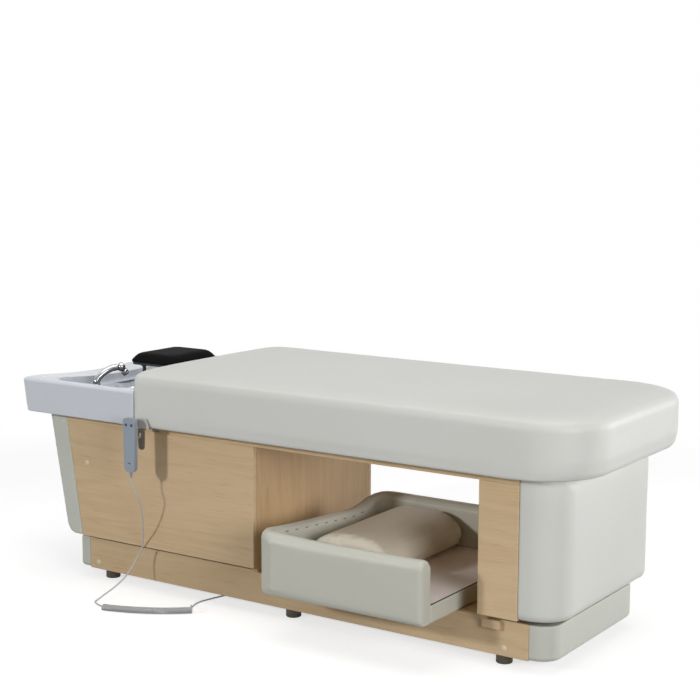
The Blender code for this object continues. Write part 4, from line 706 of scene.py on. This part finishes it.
def crisperSides(rest, crisp):
    # the round between the top and each long side, squared up more towards the head end
    along = (rest[:, 0] - bedStart.x - crisp["from"]) / (crisp["to"] - crisp["from"])
    power = crisp["head"] + (crisp["foot"] - crisp["head"]) * np.clip(along, 0, 1)
    corner = mattressHigh.z - crisp["crown"] - crisp["reach"]
    upward = rest[:, 2] - corner
    for side in (-1, 1):
        inner = (mattressHigh.y - mattressLow.y) / 2 - crisp["reach"]
        outward = side * (rest[:, 1] - bedStart.y) - inner
        turn = np.arctan2(upward, outward)
        bulge = (np.abs(np.cos(turn)) ** power + np.abs(np.sin(turn)) ** power) ** (-1 / power)
        grow = np.where((outward > 0) & (upward > 0), bulge, 1)
        rest[:, 1] = bedStart.y + side * (inner + outward * grow)
        rest[:, 2] = np.where(grow > 1, corner + upward * grow, rest[:, 2])


def puffed(start, look):
    # cloth under pressure, with how far a point may move kept under the cap
    rest = pointsOf(start)
    cloth = placed("puff", start)
    step = cloth.modifiers.new("cloth", "CLOTH")
    step.settings.quality = clothSet["quality"]
    step.settings.mass = clothSet["mass"]
    step.settings.use_pressure = True
    step.settings.uniform_pressure_force = look["pressure"]
    step.settings.effector_weights.gravity = 0
    for number in range(1, clothSet["frames"] + 1):
        bpy.context.scene.frame_set(number)
    moved = pointsOf(evaluatedMesh(cloth)) - rest
    bpy.data.objects.remove(cloth)
    bpy.context.scene.frame_set(1)
    far = np.linalg.norm(moved, axis=1, keepdims=True)
    return moved * np.minimum(1, look["cap"] / np.maximum(far, 1e-9))


def makePadded(node, look):
    skin = placed("skin", finishMesh("skin", cleanCopy(node)))
    start = placed("start", skin.data.copy())
    grid = start.modifiers.new("grid", "REMESH")
    grid.mode = "VOXEL"
    grid.voxel_size = look["voxel"]
    ease = start.modifiers.new("ease", "SMOOTH")
    ease.factor = clothSet["easeShare"]
    ease.iterations = look["ease"]
    draw = start.modifiers.new("draw", "SHRINKWRAP")
    draw.target = skin
    mesh = evaluatedMesh(start)
    for helper in (skin, start):
        bpy.data.objects.remove(helper)
    rest = pointsOf(mesh)
    if "corner" in look:
        trueCorners(rest, look)
    if "crisp" in look:
        crisperSides(rest, look["crisp"])
    if "stretch" in look:
        middle = np.array(middleOf(node))
        rest = middle + (rest - middle) * np.array(look["stretch"])
    edges = edgePoints(node, look["voxel"])
    sewn = drawnToEdges(rest, edges, clothSet["edgeReach"] * look["voxel"])
    mesh.vertices.foreach_set("co", rest.ravel())
    mesh.update()
    free = np.ones((len(rest), 1), np.float32)
    for direction in look["held"]:
        facing = normalsOf(mesh) @ np.array(direction, np.float32)
        free *= np.clip((clothSet["heldFrom"] - facing[:, None]) / clothSet["heldOver"], 0, 1)
    free[sewn] = 0
    if look["cap"]:
        rest = rest + puffed(mesh.copy(), look) * free
    mesh.vertices.foreach_set("co", rest.astype(np.float32).ravel())
    mesh.update()
    mesh.shade_smooth()
    piece = newPiece(look["piece"], mesh, look["body"], hides[look["hide"]], [node])
    return subdivide(piece)


covers = {}
for node, look in paddedSet.items():
    covers[node] = makePadded(node, {**paddedShared, **look})
    print("padded:", look["piece"])

# the remaining solids keep their CAD shape, with rounded edges and their own finish
shells = (
    # node, body, finish, slot and width of its rounded edges
    ("handset_front_cover", "handset", "handset", "handset_grey", 0.0005),
    ("handset_back_cover", "handset", "handset", "handset_grey", 0.0005),
    ("handset_hook", "handset", "handset", "handset_grey", 0.0004),
    ("handset_bracket", "bed", "steelPaint", "bracket_steel", 0.0004),
    ("control_box", "bed", "pipe", "pipe_grey", 0.0005),
    ("mains_inlet", "bed", "blackPlastic", "dark_plastic", 0.0004),
    ("water_inlet_block", "bed", "chrome", "chrome", 0.0006),
    ("waste_trap", "bed", "pipe", "pipe_grey", 0.0003),
    ("waste_nut", "bed", "pipe", "pipe_grey", 0.0005),
    ("tray_glide_sheet", "tray", "blackPlastic", "dark_plastic", 0.0004),
    ("neck_pad_frame", "neck_pad", "padFrame", "pad_frame", 0.0006),
    ("handset_circuit_board", "handset", "circuit", "circuit", 0.0001),
    ("hot_hose", "bed", "hose", "hose", 0.0001),
    ("cold_hose", "bed", "hose", "hose", 0.0001),
    ("spout_hose", "bed", "hose", "hose", 0.0001),
)
for node, body, plastic, slot, width in shells:
    redressed(node, body, plastics[plastic], width)
redressed("tray_floor_liner", "tray", hides["liner"], 0.0008)
print("shells dressed:", len(shells) + 1)

# basin, as one smooth moulding
basinSet = {
    "taper": 0.008, "corner": 0.035, "neckCorner": 0.004, "meet": 0.0033, "neckInset": 0.003, "edge": 0.008,
    "recessHead": -0.398, "recessNeck": -0.052, "recessHalf": 0.362, "recessRadius": 0.060,
    "recessDepth": 0.050, "draft": 0.006, "fillet": 0.012, "saddle": 0.020, "saddleHalf": 0.310,
    "bowlHead": -0.384, "bowlNeck": -0.204, "bowlHalf": 0.125, "bowlDepth": 0.145, "wall": 0.010,
    "drainShift": 0.030, "drain": 0.022, "arcSteps": 8, "sideSteps": 10,
}


def boxRing(head, neck, half, headRadius, neckRadius, z):
    corners = (
        (head, -half, headRadius, 180), (neck, -half, neckRadius, 270),
        (neck, half, neckRadius, 0), (head, half, headRadius, 90),
    )
    ring = []
    arcs = []
    for x, y, radius, start in corners:
        centre = Vector((x + radius if x == head else x - radius, y + radius if y < 0 else y - radius))
        turns = [math.radians(start + 90 * k / basinSet["arcSteps"]) for k in range(basinSet["arcSteps"] + 1)]
        arcs.append([centre + radius * Vector((math.cos(t), math.sin(t))) for t in turns])
    for k, arc in enumerate(arcs):
        following = arcs[(k + 1) % 4][0]
        shares = [s / (basinSet["sideSteps"] + 1) for s in range(1, basinSet["sideSteps"] + 1)]
        ring += arc + [arc[-1].lerp(following, s) for s in shares]
    return [onBed(p.x, p.y, z) for p in ring]


def makeBasin():
    low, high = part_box("basin")
    head = low.x - bedStart.x
    neck = high.x - bedStart.x + basinSet["meet"]
    half = (high.y - low.y) / 2
    rim = high.z
    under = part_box("top_board")[1].z + gap
    ledge = rim - basinSet["recessDepth"]
    edge, draft, fillet, taper = (basinSet[key] for key in ("edge", "draft", "fillet", "taper"))
    recess = [basinSet["recess" + key] for key in ("Head", "Neck", "Half", "Radius")]

    def outer(inset, z):
        neckEnd = neck - min(inset, basinSet["neckInset"])
        return boxRing(head + inset, neckEnd, half - inset, basinSet["corner"], basinSet["neckCorner"], z)

    def inner(inset, z):
        return boxRing(recess[0] + inset, recess[1] - inset, recess[2] - inset, recess[3], recess[3], z)

    pattern = inner(0, ledge)
    middle = Vector(((recess[0] + recess[1]) / 2 + bedStart.x, bedStart.y, 0))
    reach = ((recess[1] - recess[0]) / 2, recess[2])
    turns = [math.atan2((p.y - middle.y) / reach[1], (p.x - middle.x) / reach[0]) for p in pattern]

    def oval(shift, halfX, halfY, z):
        centre = (basinSet["bowlHead"] + basinSet["bowlNeck"]) / 2 + shift
        return [onBed(centre + halfX * math.cos(t), halfY * math.sin(t), z) for t in turns]

    bowlX = (basinSet["bowlNeck"] - basinSet["bowlHead"]) / 2
    bowlY = basinSet["bowlHalf"]
    floor = ledge - basinSet["bowlDepth"]
    drain, wall, sump = basinSet["drain"], basinSet["wall"], basinSet["drainShift"]
    # from the drain up the bowl's outside, round the rim and down the inside again
    rings = [oval(sump, drain, drain, floor - wall)]
    rings += [oval(shift, bowlX * x + wall, bowlY * y + wall, z) for shift, x, y, z in (
        (sump, 0.36, 0.40, floor - wall), (0.027, 0.60, 0.62, floor + 0.0074),
        (0.018, 0.78, 0.78, under - 0.002), (0.018, 0.79, 0.79, under),
    )]
    rings += [outer(inset, z) for inset, z in (
        (taper + 0.03, under), (taper + 0.004, under), (taper + 0.001, under + 0.001), (taper, under + 0.004),
        (taper * 0.5, (under + rim) / 2), (0.001, rim - edge - 0.004), (0, rim - edge),
        (edge * 0.3, rim - edge * 0.3), (edge, rim), (edge + 0.005, rim),
    )]
    rings += [inner(inset, z) for inset, z in (
        (-0.011, rim), (-0.006, rim), (-0.001, rim - 0.002), (0.001, rim - 0.008),
        (draft * 0.5, (rim + ledge) / 2), (draft * 0.9, ledge + fillet),
        (draft + fillet * 0.3, ledge + fillet * 0.3), (draft + fillet, ledge),
        (draft + fillet + 0.008, ledge),
    )]
    rings += [oval(shift, bowlX + more, bowlY + more, ledge - drop) for shift, more, drop in (
        (0, 0.010, 0), (0, 0.003, 0.001), (0.001, -0.002, 0.006),
    )]
    rings += [oval(shift, bowlX * x, bowlY * y, ledge - drop) for shift, x, y, drop in (
        (0.005, 0.94, 0.95, 0.016), (0.013, 0.86, 0.86, 0.040), (0.018, 0.78, 0.78, 0.064),
        (0.023, 0.69, 0.70, 0.098), (0.027, 0.58, 0.60, 0.127),
    )]
    rings += [oval(sump, halfX, halfY, floor + up) for halfX, halfY, up in (
        (bowlX * 0.40, bowlY * 0.44, 0.003), (drain * 1.25, drain * 1.25, 0), (drain, drain, -0.001),
    )]
    scoop = (basinSet["saddleHalf"] ** 2 + basinSet["saddle"] ** 2) / (2 * basinSet["saddle"])
    dipEnd = bedStart.x + (recess[0] + recess[1]) / 2
    for ring in rings:
        for point in ring:
            if point.x < dipEnd and point.z > ledge:
                dip = rim - basinSet["saddle"] + (point.y - bedStart.y) ** 2 / (2 * scoop)
                point.z = min(point.z, max(dip, ledge + 0.002))
    mesh = lofted("basinShell", rings + [rings[0]], closed=False)
    bm = bmesh.new()
    bm.from_mesh(mesh)
    bmesh.ops.remove_doubles(bm, verts=bm.verts, dist=0.00001)
    bpy.data.meshes.remove(mesh)
    mesh = finishMesh("basinShell", bm, 180)
    return subdivide(newPiece("basinShell", mesh, "bed", plastics["basin"], ["basin"]), 2)


basinShell = makeBasin()
print("basin moulded")

# tap, waste and mixer in chrome
tapSet = {
    "spoutRadius": 0.0122, "tipRadius": 0.0112, "ball": 0.0155, "flange": 0.024, "collar": 0.0125,
    "shank": 0.0155, "step": 0.002,
    "arc": ((0, 0.16), (0.12, 0.42), (0.40, 0.74), (0.74, 0.95)),  # shares of the reach and of the rise
    "nozzleTilt": 37.0, "nozzleRadius": 0.0130, "nozzleLength": 0.031,
    "mixerRadius": 0.020, "cartridge": 0.009, "hood": 0.0145, "hoodInside": 0.0093,
    "leverReach": 0.040, "leverRadius": 0.0032, "leverTurn": 95.0, "leverStep": 0.0015,
    "leverArc": ((0.5, 0.002), (0.75, 0.005), (1, 0.009)),  # share of the reach, and the rise
}


def archOf(radius, first, last, steps=10):
    # (radius, height) pairs on a ball, from first to last degree measured from its top
    turns = [math.radians(first + (last - first) * k / steps) for k in range(steps + 1)]
    return [(radius * math.sin(t), radius * math.cos(t)) for t in turns]


def makeTap():
    low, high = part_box("spout_base")
    centre = (low + high) / 2
    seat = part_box("basin")[1].z - basinSet["recessDepth"] + gap
    foot = Matrix.Translation((centre.x, centre.y, 0))
    collar, flange, shank = tapSet["collar"], tapSet["flange"], tapSet["shank"]
    profile = [
        (0, high.z), (collar - 0.001, high.z), (collar, high.z - 0.001), (collar, seat + 0.011),
        (collar + 0.002, seat + 0.009), (flange - 0.002, seat + 0.006), (flange, seat + 0.004),
        (flange, seat), (shank, seat), (shank, low.z), (0, low.z),
    ]
    turned("spoutFlange", profile, foot, "bed", "chrome", ["spout_base"])
    ball = Vector(joints["nozzle_tilt"]["pos_m"])
    heading = Vector((ball.x - centre.x, ball.y - centre.y, 0))
    length = heading.length
    heading.normalize()
    reach = length - tapSet["ball"] - gap
    rise = ball.z - high.z
    base = Vector((centre.x, centre.y, high.z))
    route = [base + Vector((0, 0, gap))]
    route += [base + heading * reach * out + Vector((0, 0, rise * up)) for out, up in tapSet["arc"]]
    route += [ball - heading * (tapSet["ball"] + gap)]
    line = smoothLine(route, tapSet["step"])
    thick, thin = tapSet["spoutRadius"], tapSet["tipRadius"]
    radii = [thick + (thin - thick) * k / (len(line) - 1) for k in range(len(line))]
    pipe = swept("spoutPipe", line, radii, 32)
    newPiece("spoutPipe", pipe, "spout", plastics["chrome"], ["spout"])
    tilt = math.radians(tapSet["nozzleTilt"])
    aim = heading * math.sin(tilt) + Vector((0, 0, -math.cos(tilt)))
    wide, long = tapSet["nozzleRadius"], tapSet["nozzleLength"]
    profile = [(r, -z) for r, z in archOf(tapSet["ball"], 0, 122, 16)]
    profile += [
        (0.0095, 0.0135), (0.0105, 0.0145), (wide - 0.0006, 0.0158), (wide, 0.0168), (wide, 0.0225),
        (wide - 0.0006, 0.0230), (wide - 0.0006, 0.0240), (wide, 0.0245), (wide, 0.0290),
        (wide - 0.0012, long), (wide - 0.003, long - 0.0005), (wide - 0.0035, long - 0.0018),
        (0, long - 0.0018),
    ]
    turned("sprayHead", profile, aimed(ball, aim), "nozzle", "chrome", ["spray_nozzle"])
    makeMixer(seat)


def makeMixer(seat):
    low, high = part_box("mixer_body")
    centre = (low + high) / 2
    place = Matrix.Translation((centre.x, centre.y, 0))
    wide, shank = tapSet["mixerRadius"], tapSet["shank"]
    profile = [
        (0, high.z), (wide - 0.002, high.z), (wide - 0.0006, high.z - 0.0006), (wide, high.z - 0.002),
        (wide, seat + 0.0045), (wide + 0.0022, seat + 0.003), (wide + 0.0025, seat + 0.002),
        (wide + 0.0025, seat), (shank, seat), (shank, low.z), (0, low.z),
    ]
    turned("mixerFlange", profile, place, "bed", "chrome", ["mixer_body"])
    ball = Vector(joints["lever_lift"]["pos_m"])
    at = Matrix.Translation(ball)
    bottom = high.z + gap - ball.z
    profile = archOf(tapSet["cartridge"], 0, 135, 16) + [(0.006, bottom), (0, bottom)]
    turned("mixerBall", profile, at, "mixer", "chrome", ["mixer_cartridge"])
    hood = archOf(tapSet["hood"], 0, 90, 16) + archOf(tapSet["hoodInside"], 90, 0, 12)
    bm = bmesh.new()
    bm.from_mesh(lathed("mixerHood", hood, at))
    turn = math.radians(tapSet["leverTurn"])
    heading = Vector((math.cos(turn), math.sin(turn), 0))
    root = ball + Vector((0, 0, 0.006))
    reach = tapSet["leverReach"]
    rod = [root + heading * 0.0112]
    rod += [root + heading * reach * out + Vector((0, 0, up)) for out, up in tapSet["leverArc"]]
    line = smoothLine(rod, tapSet["leverStep"])
    radii = [tapSet["leverRadius"] * (0.85 + 0.3 * k / len(line)) for k in range(len(line))]
    radii[-1] *= 0.7
    bm.from_mesh(swept("leverRod", line, radii, 20))
    mesh = finishMesh("mixerHandle", bm, 40)
    newPiece("mixerHandle", mesh, "lever", plastics["chrome"], ["mixer_lever"])


makeTap()

wasteSet = {"plate": 0.029, "cup": 0.0154, "tail": 0.0208, "bore": 0.017, "bars": 3, "bar": 0.0022}


def makeWaste():
    low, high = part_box("basin_waste")
    middle = (low + high) / 2
    place = Matrix.Translation((middle.x, middle.y, 0))
    top = high.z
    plate, cup, tail, bore = (wasteSet[key] for key in ("plate", "cup", "tail", "bore"))
    profile = [
        (cup, top - 0.0005), (cup + 0.003, top), (plate - 0.003, top - 0.0004), (plate, top - 0.002),
        (tail, top - 0.002), (tail, low.z), (bore, low.z), (bore, top - 0.006), (cup, top - 0.004),
        (cup, top - 0.0005),
    ]
    bm = bmesh.new()
    bm.from_mesh(lathed("wasteRing", profile, place))
    centre = Matrix.Translation((middle.x, middle.y, top - 0.0025))
    size = Matrix.Diagonal((2 * cup + 0.001, wasteSet["bar"], wasteSet["bar"], 1))
    for k in range(wasteSet["bars"]):
        spin = Matrix.Rotation(math.pi * k / wasteSet["bars"], 4, "Z")
        bmesh.ops.create_cube(bm, size=1.0, matrix=centre @ spin @ size)
    mesh = finishMesh("wasteGrid", bm)
    piece = newPiece("wasteGrid", mesh, "bed", plastics["chrome"], ["basin_waste"])
    roundEdges(piece, 0.0003)


makeWaste()
print("tap and waste turned")

# levelling feet, gland, boot and buttons
footSet = {"sole": 0.007, "groove": 0.0012, "stem": 0.005}
bootSet = {"ribs": 5, "wide": 0.0052, "taper": 0.0017, "rib": 0.0009}
buttonSet = {"lip": 0.0015, "lipDepth": 0.0012}


def makeFeet():
    for node in sorted(name for name in nodes if name.startswith("levelling_foot_")):
        low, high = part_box(node)
        middle = (low + high) / 2
        radius = (high.x - low.x) / 2
        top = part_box("plinth_front_board")[0].z - gap
        sole, stem = footSet["sole"], footSet["stem"]
        groove = radius - footSet["groove"]
        profile = [
            (0, high.z), (stem - 0.0008, high.z), (stem, high.z - 0.001), (stem, top), (radius * 0.90, top),
            (radius * 0.95, top - 0.001), (radius, top - 0.005), (radius, sole + 0.002),
            (groove, sole + 0.001), (groove, sole), (radius, sole - 0.001), (radius, 0.002),
            (radius - 0.0015, 0), (0, 0),
        ]
        words = node.split("_")[2:]
        name = "levelFoot" + "".join(word.capitalize() for word in words)
        place = Matrix.Translation((middle.x, middle.y, 0))
        turned(name, profile, place, "foot_" + "_".join(words), "footRubber", [node], 40)


def makeBootAndGland():
    low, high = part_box("handset_strain_relief")
    middle = (low + high) / 2
    length = high.z - low.z
    ribs = bootSet["ribs"]
    profile = [(0, 0), (0.0055, 0), (0.0055, -0.002)]
    for k in range(ribs):
        start = -0.0025 - k * (length - 0.0045) / ribs
        radius = bootSet["wide"] - bootSet["taper"] * k / (ribs - 1)
        inside = radius - bootSet["rib"]
        profile += [(radius, start), (radius, start - 0.0017)]
        profile += [(inside, start - 0.0019), (inside, start - 0.0029)]
    profile += [(0.0032, -length), (0, -length)]
    place = Matrix.Translation((middle.x, middle.y, high.z))
    turned("cordBoot", profile, place, "handset", "handset", ["handset_strain_relief"], 32)
    low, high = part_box("cord_gland")
    middle = (low + high) / 2
    length = high.z - low.z
    profile = [
        (0, 0), (0.009, 0), (0.009, -0.0055), (0.0082, -0.0062), (0.0075, -0.0070), (0.0075, -0.0120),
        (0.0068, -0.0130), (0.0055, -length + 0.001), (0.0050, -length), (0, -length),
    ]
    place = Matrix.Translation((middle.x, middle.y, high.z))
    turned("cordGland", profile, place, "bed", "blackPlastic", ["cord_gland"], 32)


def makeButtons():
    for end in ("left", "right"):
        node = "handset_button_" + end
        low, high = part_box(node)
        middle = (low + high) / 2
        depth = high.y - low.y
        wide = (high.x - low.x) / 2
        cap = wide - buttonSet["lip"]
        lip = buttonSet["lipDepth"]
        profile = [
            (0, depth - 0.0004), (cap * 0.45, depth - 0.0003), (cap * 0.72, depth),
            (cap * 0.9, depth - 0.0004), (cap, depth - 0.0009), (cap, lip), (wide, lip), (wide, 0), (0, 0),
        ]
        place = aimed(Vector((middle.x, high.y, middle.z)), (0, -1, 0))
        name = "button" + end.capitalize()
        turned(name, profile, place, "button_" + end, "button", [node], 32)


makeFeet()
makeBootAndGland()
makeButtons()
print("feet, boot, gland and buttons turned")

# small fittings that only the looks have: screw caps and the two back cleats
capSet = {
    "wide": 0.009, "small": 0.005, "rise": 0.0032, "sink": 0.0004,
    "panel": ((-0.267, 0.412),), "plinth": ((-0.263, 0.059), (1.297, 0.059)),
    "headPanel": ((-0.304, 0.170), (-0.338, 0.358), (-0.370, 0.542)),  # x and height on the bed's own axes
    "deck": ((-0.4511, -0.3384, 0.009), (-0.4200, -0.2775, 0.013)),  # x, y and radius
    "deckRise": 0.0020, "deckSink": 0.0003, "above": 0.1,
}


def domeOf(radius, high):
    shares = ((0, 1), (0.35, 0.96), (0.65, 0.80), (0.85, 0.55), (0.95, 0.32), (1, 0.18), (1, 0), (0, 0))
    return [(radius * across, high * up) for across, up in shares]


def skinOf(piece):
    mesh = evaluatedMesh(piece)
    points = [vert.co for vert in mesh.vertices]
    return BVHTree.FromPolygons(points, [face.vertices for face in mesh.polygons])


def makeCaps():
    spots = []
    for key, node, radius, plastic in (
        ("panel", "cabinet_front_panel", capSet["wide"], "capCream"),
        ("plinth", "plinth_front_board", capSet["wide"], "capCream"),
        ("headPanel", "head_end_panel", capSet["small"], "capPale"),
    ):
        for x, z in capSet[key]:
            spots.append((onBed(x, 0, z), bedStart.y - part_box(node)[0].y, radius, plastic))
    for index, (spot, half, radius, plastic) in enumerate(spots):
        for side, end in ((-1, "Front"), (1, "Back")):
            start = Vector((spot.x, bedStart.y + side * (half - capSet["sink"]), spot.z))
            profile = domeOf(radius, capSet["rise"] * radius / capSet["wide"])
            place = aimed(start, (0, side, 0))
            turned(f"screwCap{end}{index + 1}", profile, place, "bed", plastic, segments=32)
    # two white domes on the basin deck where it shows two glints: painted highlights
    deck = skinOf(basinShell)
    for index, (x, y, radius) in enumerate(capSet["deck"]):
        above = onBed(x, y, cadHigh[2] + capSet["above"])
        spot, normal, face, far = deck.ray_cast(above, Vector((0, 0, -1)))
        place = aimed(spot - capSet["deckSink"] * normal, normal)
        profile = domeOf(radius, capSet["deckRise"])
        turned(f"deckGlintDome{index + 1}", profile, place, "bed", "capWhite", segments=40)


def boxPiece(name, place, size, body, material, bevel):
    bm = bmesh.new()
    bmesh.ops.create_cube(bm, size=1.0, matrix=place @ Matrix.Diagonal((*size, 1)))
    return roundEdges(newPiece(name, finishMesh(name, bm), body, material), bevel)


def makeBackCleats():
    for node in ("cabinet_cleat", "post_cleat"):
        low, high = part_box(node)
        middle = (low + high) / 2
        place = Matrix.Translation((middle.x, 2 * bedStart.y - middle.y, middle.z))
        name = node.split("_")[0] + "BackCleat"
        boxPiece(name, place, high - low, "bed", nodes[node].data.materials[0], 0.0015)


makeCaps()
makeBackCleats()

# tray trimming: stitches along the head-side wall, and a dark strip under the liner's open end that is
# painted shade for the gap there
stitchSet = {
    "length": 0.0160, "radius": 0.0012, "spacing": 0.052, "drop": 0.013,  # under the wall's top
    "span": (-0.445, 0.020), "inside": 0.80,  # on the bed's own axes
    "wallMiddle": 0.024,  # from the wall's inner face
    "bow": ((-1, -1), (-0.6, 0.4), (0, 0.5), (0.6, 0.4), (1, -1)),  # shares of half its length and radius
}
linerShadowGapSet = {"width": 0.0012, "height": 0.0030, "off": 0.0002, "bevel": 0.0003}


def makeStitches():
    # short thread bars inside the head-side wall, just under its top
    skin = skinOf(covers["tray_wall"])
    low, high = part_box("tray_wall")
    first, last = stitchSet["span"]
    count = round((last - first) / stitchSet["spacing"])
    outward = Vector((-1, 0, 0))
    spots = []
    for k in range(count + 1):
        start = onBed(stitchSet["inside"], first + (last - first) * k / count, (low.z + high.z) / 2)
        inner = skin.ray_cast(start, outward)[0]
        over = inner + outward * stitchSet["wallMiddle"] + Vector((0, 0, high.z))
        top = skin.ray_cast(over, Vector((0, 0, -1)))[0]
        under = Vector((start.x, start.y, top.z - stitchSet["drop"]))
        spot, normal, face, far = skin.ray_cast(under, outward)
        spots.append((spot, normal))
    bm = bmesh.new()
    along = Vector((0, stitchSet["length"] / 2, 0))
    for spot, normal in spots:
        rise = normal * stitchSet["radius"]
        line = [spot + along * out + rise * up for out, up in stitchSet["bow"]]
        bm.from_mesh(swept("stitch", line, [stitchSet["radius"]] * len(line), 8))
    newPiece("trayStitches", finishMesh("trayStitches", bm, 60), "tray", plastics["thread"])


# a grey sheet on the mattress's side, painted shadow of the handset, and the slot low on the handset's face
shadowSheetSet = {
    "left": 0.0250, "right": 0.0620, "low": 0.5745, "high": 0.6080, "skew": 0.0085, "round": 0.012,
    "thick": 0.0020, "off": 0.0022, "bevel": 0.0005,
}
slotSet = {"long": 0.0125, "tall": 0.0028, "up": 0.030, "turn": 8.0, "depth": 0.0005, "bevel": 0.0004}


def makeShadowSheet():
    # the sheet's outline follows the handset's shadow on the mattress's side: painted shadow
    face = mattressLow.y - shadowSheetSet["off"]
    tall = shadowSheetSet["high"] - shadowSheetSet["low"]
    outline = [(shadowSheetSet["left"] + shadowSheetSet["skew"], 0), (shadowSheetSet["right"] + shadowSheetSet["skew"], 0)]
    turns = [math.radians(90 * k / 8) for k in range(9)]
    arc = shadowSheetSet["round"]
    outline += [(shadowSheetSet["right"] - arc + arc * math.cos(t), tall - arc + arc * math.sin(t)) for t in turns]
    outline += [(shadowSheetSet["left"], tall)]
    rings = [[onBed(x, 0, shadowSheetSet["low"] + z) for x, z in outline] for side in (0, 1)]
    for ring, y in zip(rings, (face, face - shadowSheetSet["thick"])):
        for point in ring:
            point.y = y
    piece = newPiece("bracketPlate", lofted("bracketPlate", rings), "bed", plastics["plateGrey"])
    roundEdges(piece, shadowSheetSet["bevel"])


def makeSlot():
    low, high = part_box("handset_front_cover")
    middle = (low + high) / 2
    turn = Matrix.Rotation(math.radians(slotSet["turn"]), 4, "Y")
    place = Matrix.Translation((middle.x, low.y, low.z + slotSet["up"])) @ turn
    size = (slotSet["long"], 2 * slotSet["depth"], slotSet["tall"])
    boxPiece("handsetSlot", place, size, "handset", plastics["button"], slotSet["bevel"])


def makeLinerShadowGap():
    # a thin black strip along the liner's open end: painted shade for the gap under it
    low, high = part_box("tray_floor_liner")
    size = (linerShadowGapSet["width"], high.y - low.y, linerShadowGapSet["height"])
    x = high.x + size[0] / 2 + linerShadowGapSet["off"]
    place = Matrix.Translation((x, (low.y + high.y) / 2, high.z - size[2] / 2))
    material = plastics["blackPlastic"]
    boxPiece("linerEdge", place, size, "tray", material, linerShadowGapSet["bevel"])


makeStitches()
makeShadowSheet()
makeSlot()
makeLinerShadowGap()
print("caps, cleats and trimming added")

# floor and light
stageSet = {
    "floorTone": (0.60, 0.60, 0.60, 1), "bounceTone": (0.20, 0.20, 0.20, 1), "floorRadius": 30,
    "lift": 0.66, "clear": 2.2, "fade": 3.4, "ambient": 0.06,
    # name, place, aim, size in metres, watts
    "lamps": (
        ("keyFrontLeft", (-2.27, -5.57, 2.36), (0, -0.35, 0.45), 0.55, 138),
        ("topSheet", (0.6, -0.2, 4.2), (0.6, 0, 0.6), 4.5, 88),
        ("rightSheet", (4.95, -2.4, 1.5), (1.2, 0, 0.5), 2.2, 112),
        ("backFill", (4.0, 2.9, 1.0), (0.9, 0, 0.4), 1.6, 64),
    ),
}


def litOnly(tree):
    # 1 for what the camera sees straight, in gloss or through glass
    rays = addNode(tree, "LightPath").outputs
    seen = maths(tree, "MAXIMUM", rays["Is Camera Ray"], rays["Is Glossy Ray"])
    return maths(tree, "MAXIMUM", seen, rays["Is Transmission Ray"])


def makeFloor():
    bm = bmesh.new()
    bmesh.ops.create_circle(bm, cap_ends=True, radius=stageSet["floorRadius"], segments=96)
    floor = placed("floor", finishMesh("floor", bm))
    material = bpy.data.materials.new("paleFloor")
    material.use_nodes = True
    tree = material.node_tree
    shader = tree.nodes["Principled BSDF"]
    bounce = addNode(tree, "LightPath").outputs["Is Diffuse Ray"]
    ground = blended(tree, bounce, stageSet["floorTone"], stageSet["bounceTone"])
    tree.links.new(ground, shader.inputs["Base Color"])
    shader.inputs["Roughness"].default_value = 0.8
    shader.inputs["Specular IOR Level"].default_value = 0.1
    lift = addNode(tree, "Emission", {"Color": (1, 1, 1, 1), "Strength": stageSet["lift"]})
    white = addNode(tree, "Emission", {"Color": (1, 1, 1, 1), "Strength": 1.0})
    seen = litOnly(tree)
    dark = addNode(tree, "Emission", {"Color": (0, 0, 0, 1), "Strength": 0.0})
    shown = addNode(tree, "MixShader", {0: seen, 1: dark.outputs[0], 2: lift.outputs[0]})
    near = addNode(tree, "AddShader", {0: shader.outputs[0], 1: shown.outputs[0]})
    spot = addNode(tree, "TexCoord").outputs["Object"]
    away = addNode(tree, "VectorMath", {0: spot}, operation="LENGTH").outputs["Value"]
    values = {"Value": away, "From Min": stageSet["clear"], "From Max": stageSet["fade"]}
    fade = addNode(tree, "MapRange", values, interpolation_type="SMOOTHSTEP").outputs["Result"]
    share = maths(tree, "MULTIPLY", fade, seen)
    mix = addNode(tree, "MixShader", {0: share, 1: near.outputs[0], 2: white.outputs[0]})
    tree.links.new(mix.outputs[0], tree.nodes["Material Output"].inputs["Surface"])
    floor.data.materials.append(material)


def makeLight():
    world = bpy.data.worlds.new("studio")
    bpy.context.scene.world = world
    world.use_nodes = True
    tree = world.node_tree
    room = tree.nodes["Background"]
    room.inputs["Color"].default_value = (1, 1, 1, 1)
    room.inputs["Strength"].default_value = stageSet["ambient"]
    white = addNode(tree, "Background", {"Color": (1, 1, 1, 1), "Strength": 1.0})
    mix = addNode(tree, "MixShader", {0: litOnly(tree), 1: room.outputs[0], 2: white.outputs[0]})
    tree.links.new(mix.outputs[0], tree.nodes["World Output"].inputs["Surface"])
    for name, place, aim, size, watts in stageSet["lamps"]:
        lamp = bpy.data.lights.new(name, "AREA")
        lamp.shape = "DISK"
        lamp.size = size
        lamp.energy = watts
        holder = placed(name, lamp)
        holder.location = onBed(*place)
        holder.rotation_euler = (onBed(*aim) - holder.location).to_track_quat("-Z", "Y").to_euler()


makeFloor()
makeLight()
print("floor and light set")
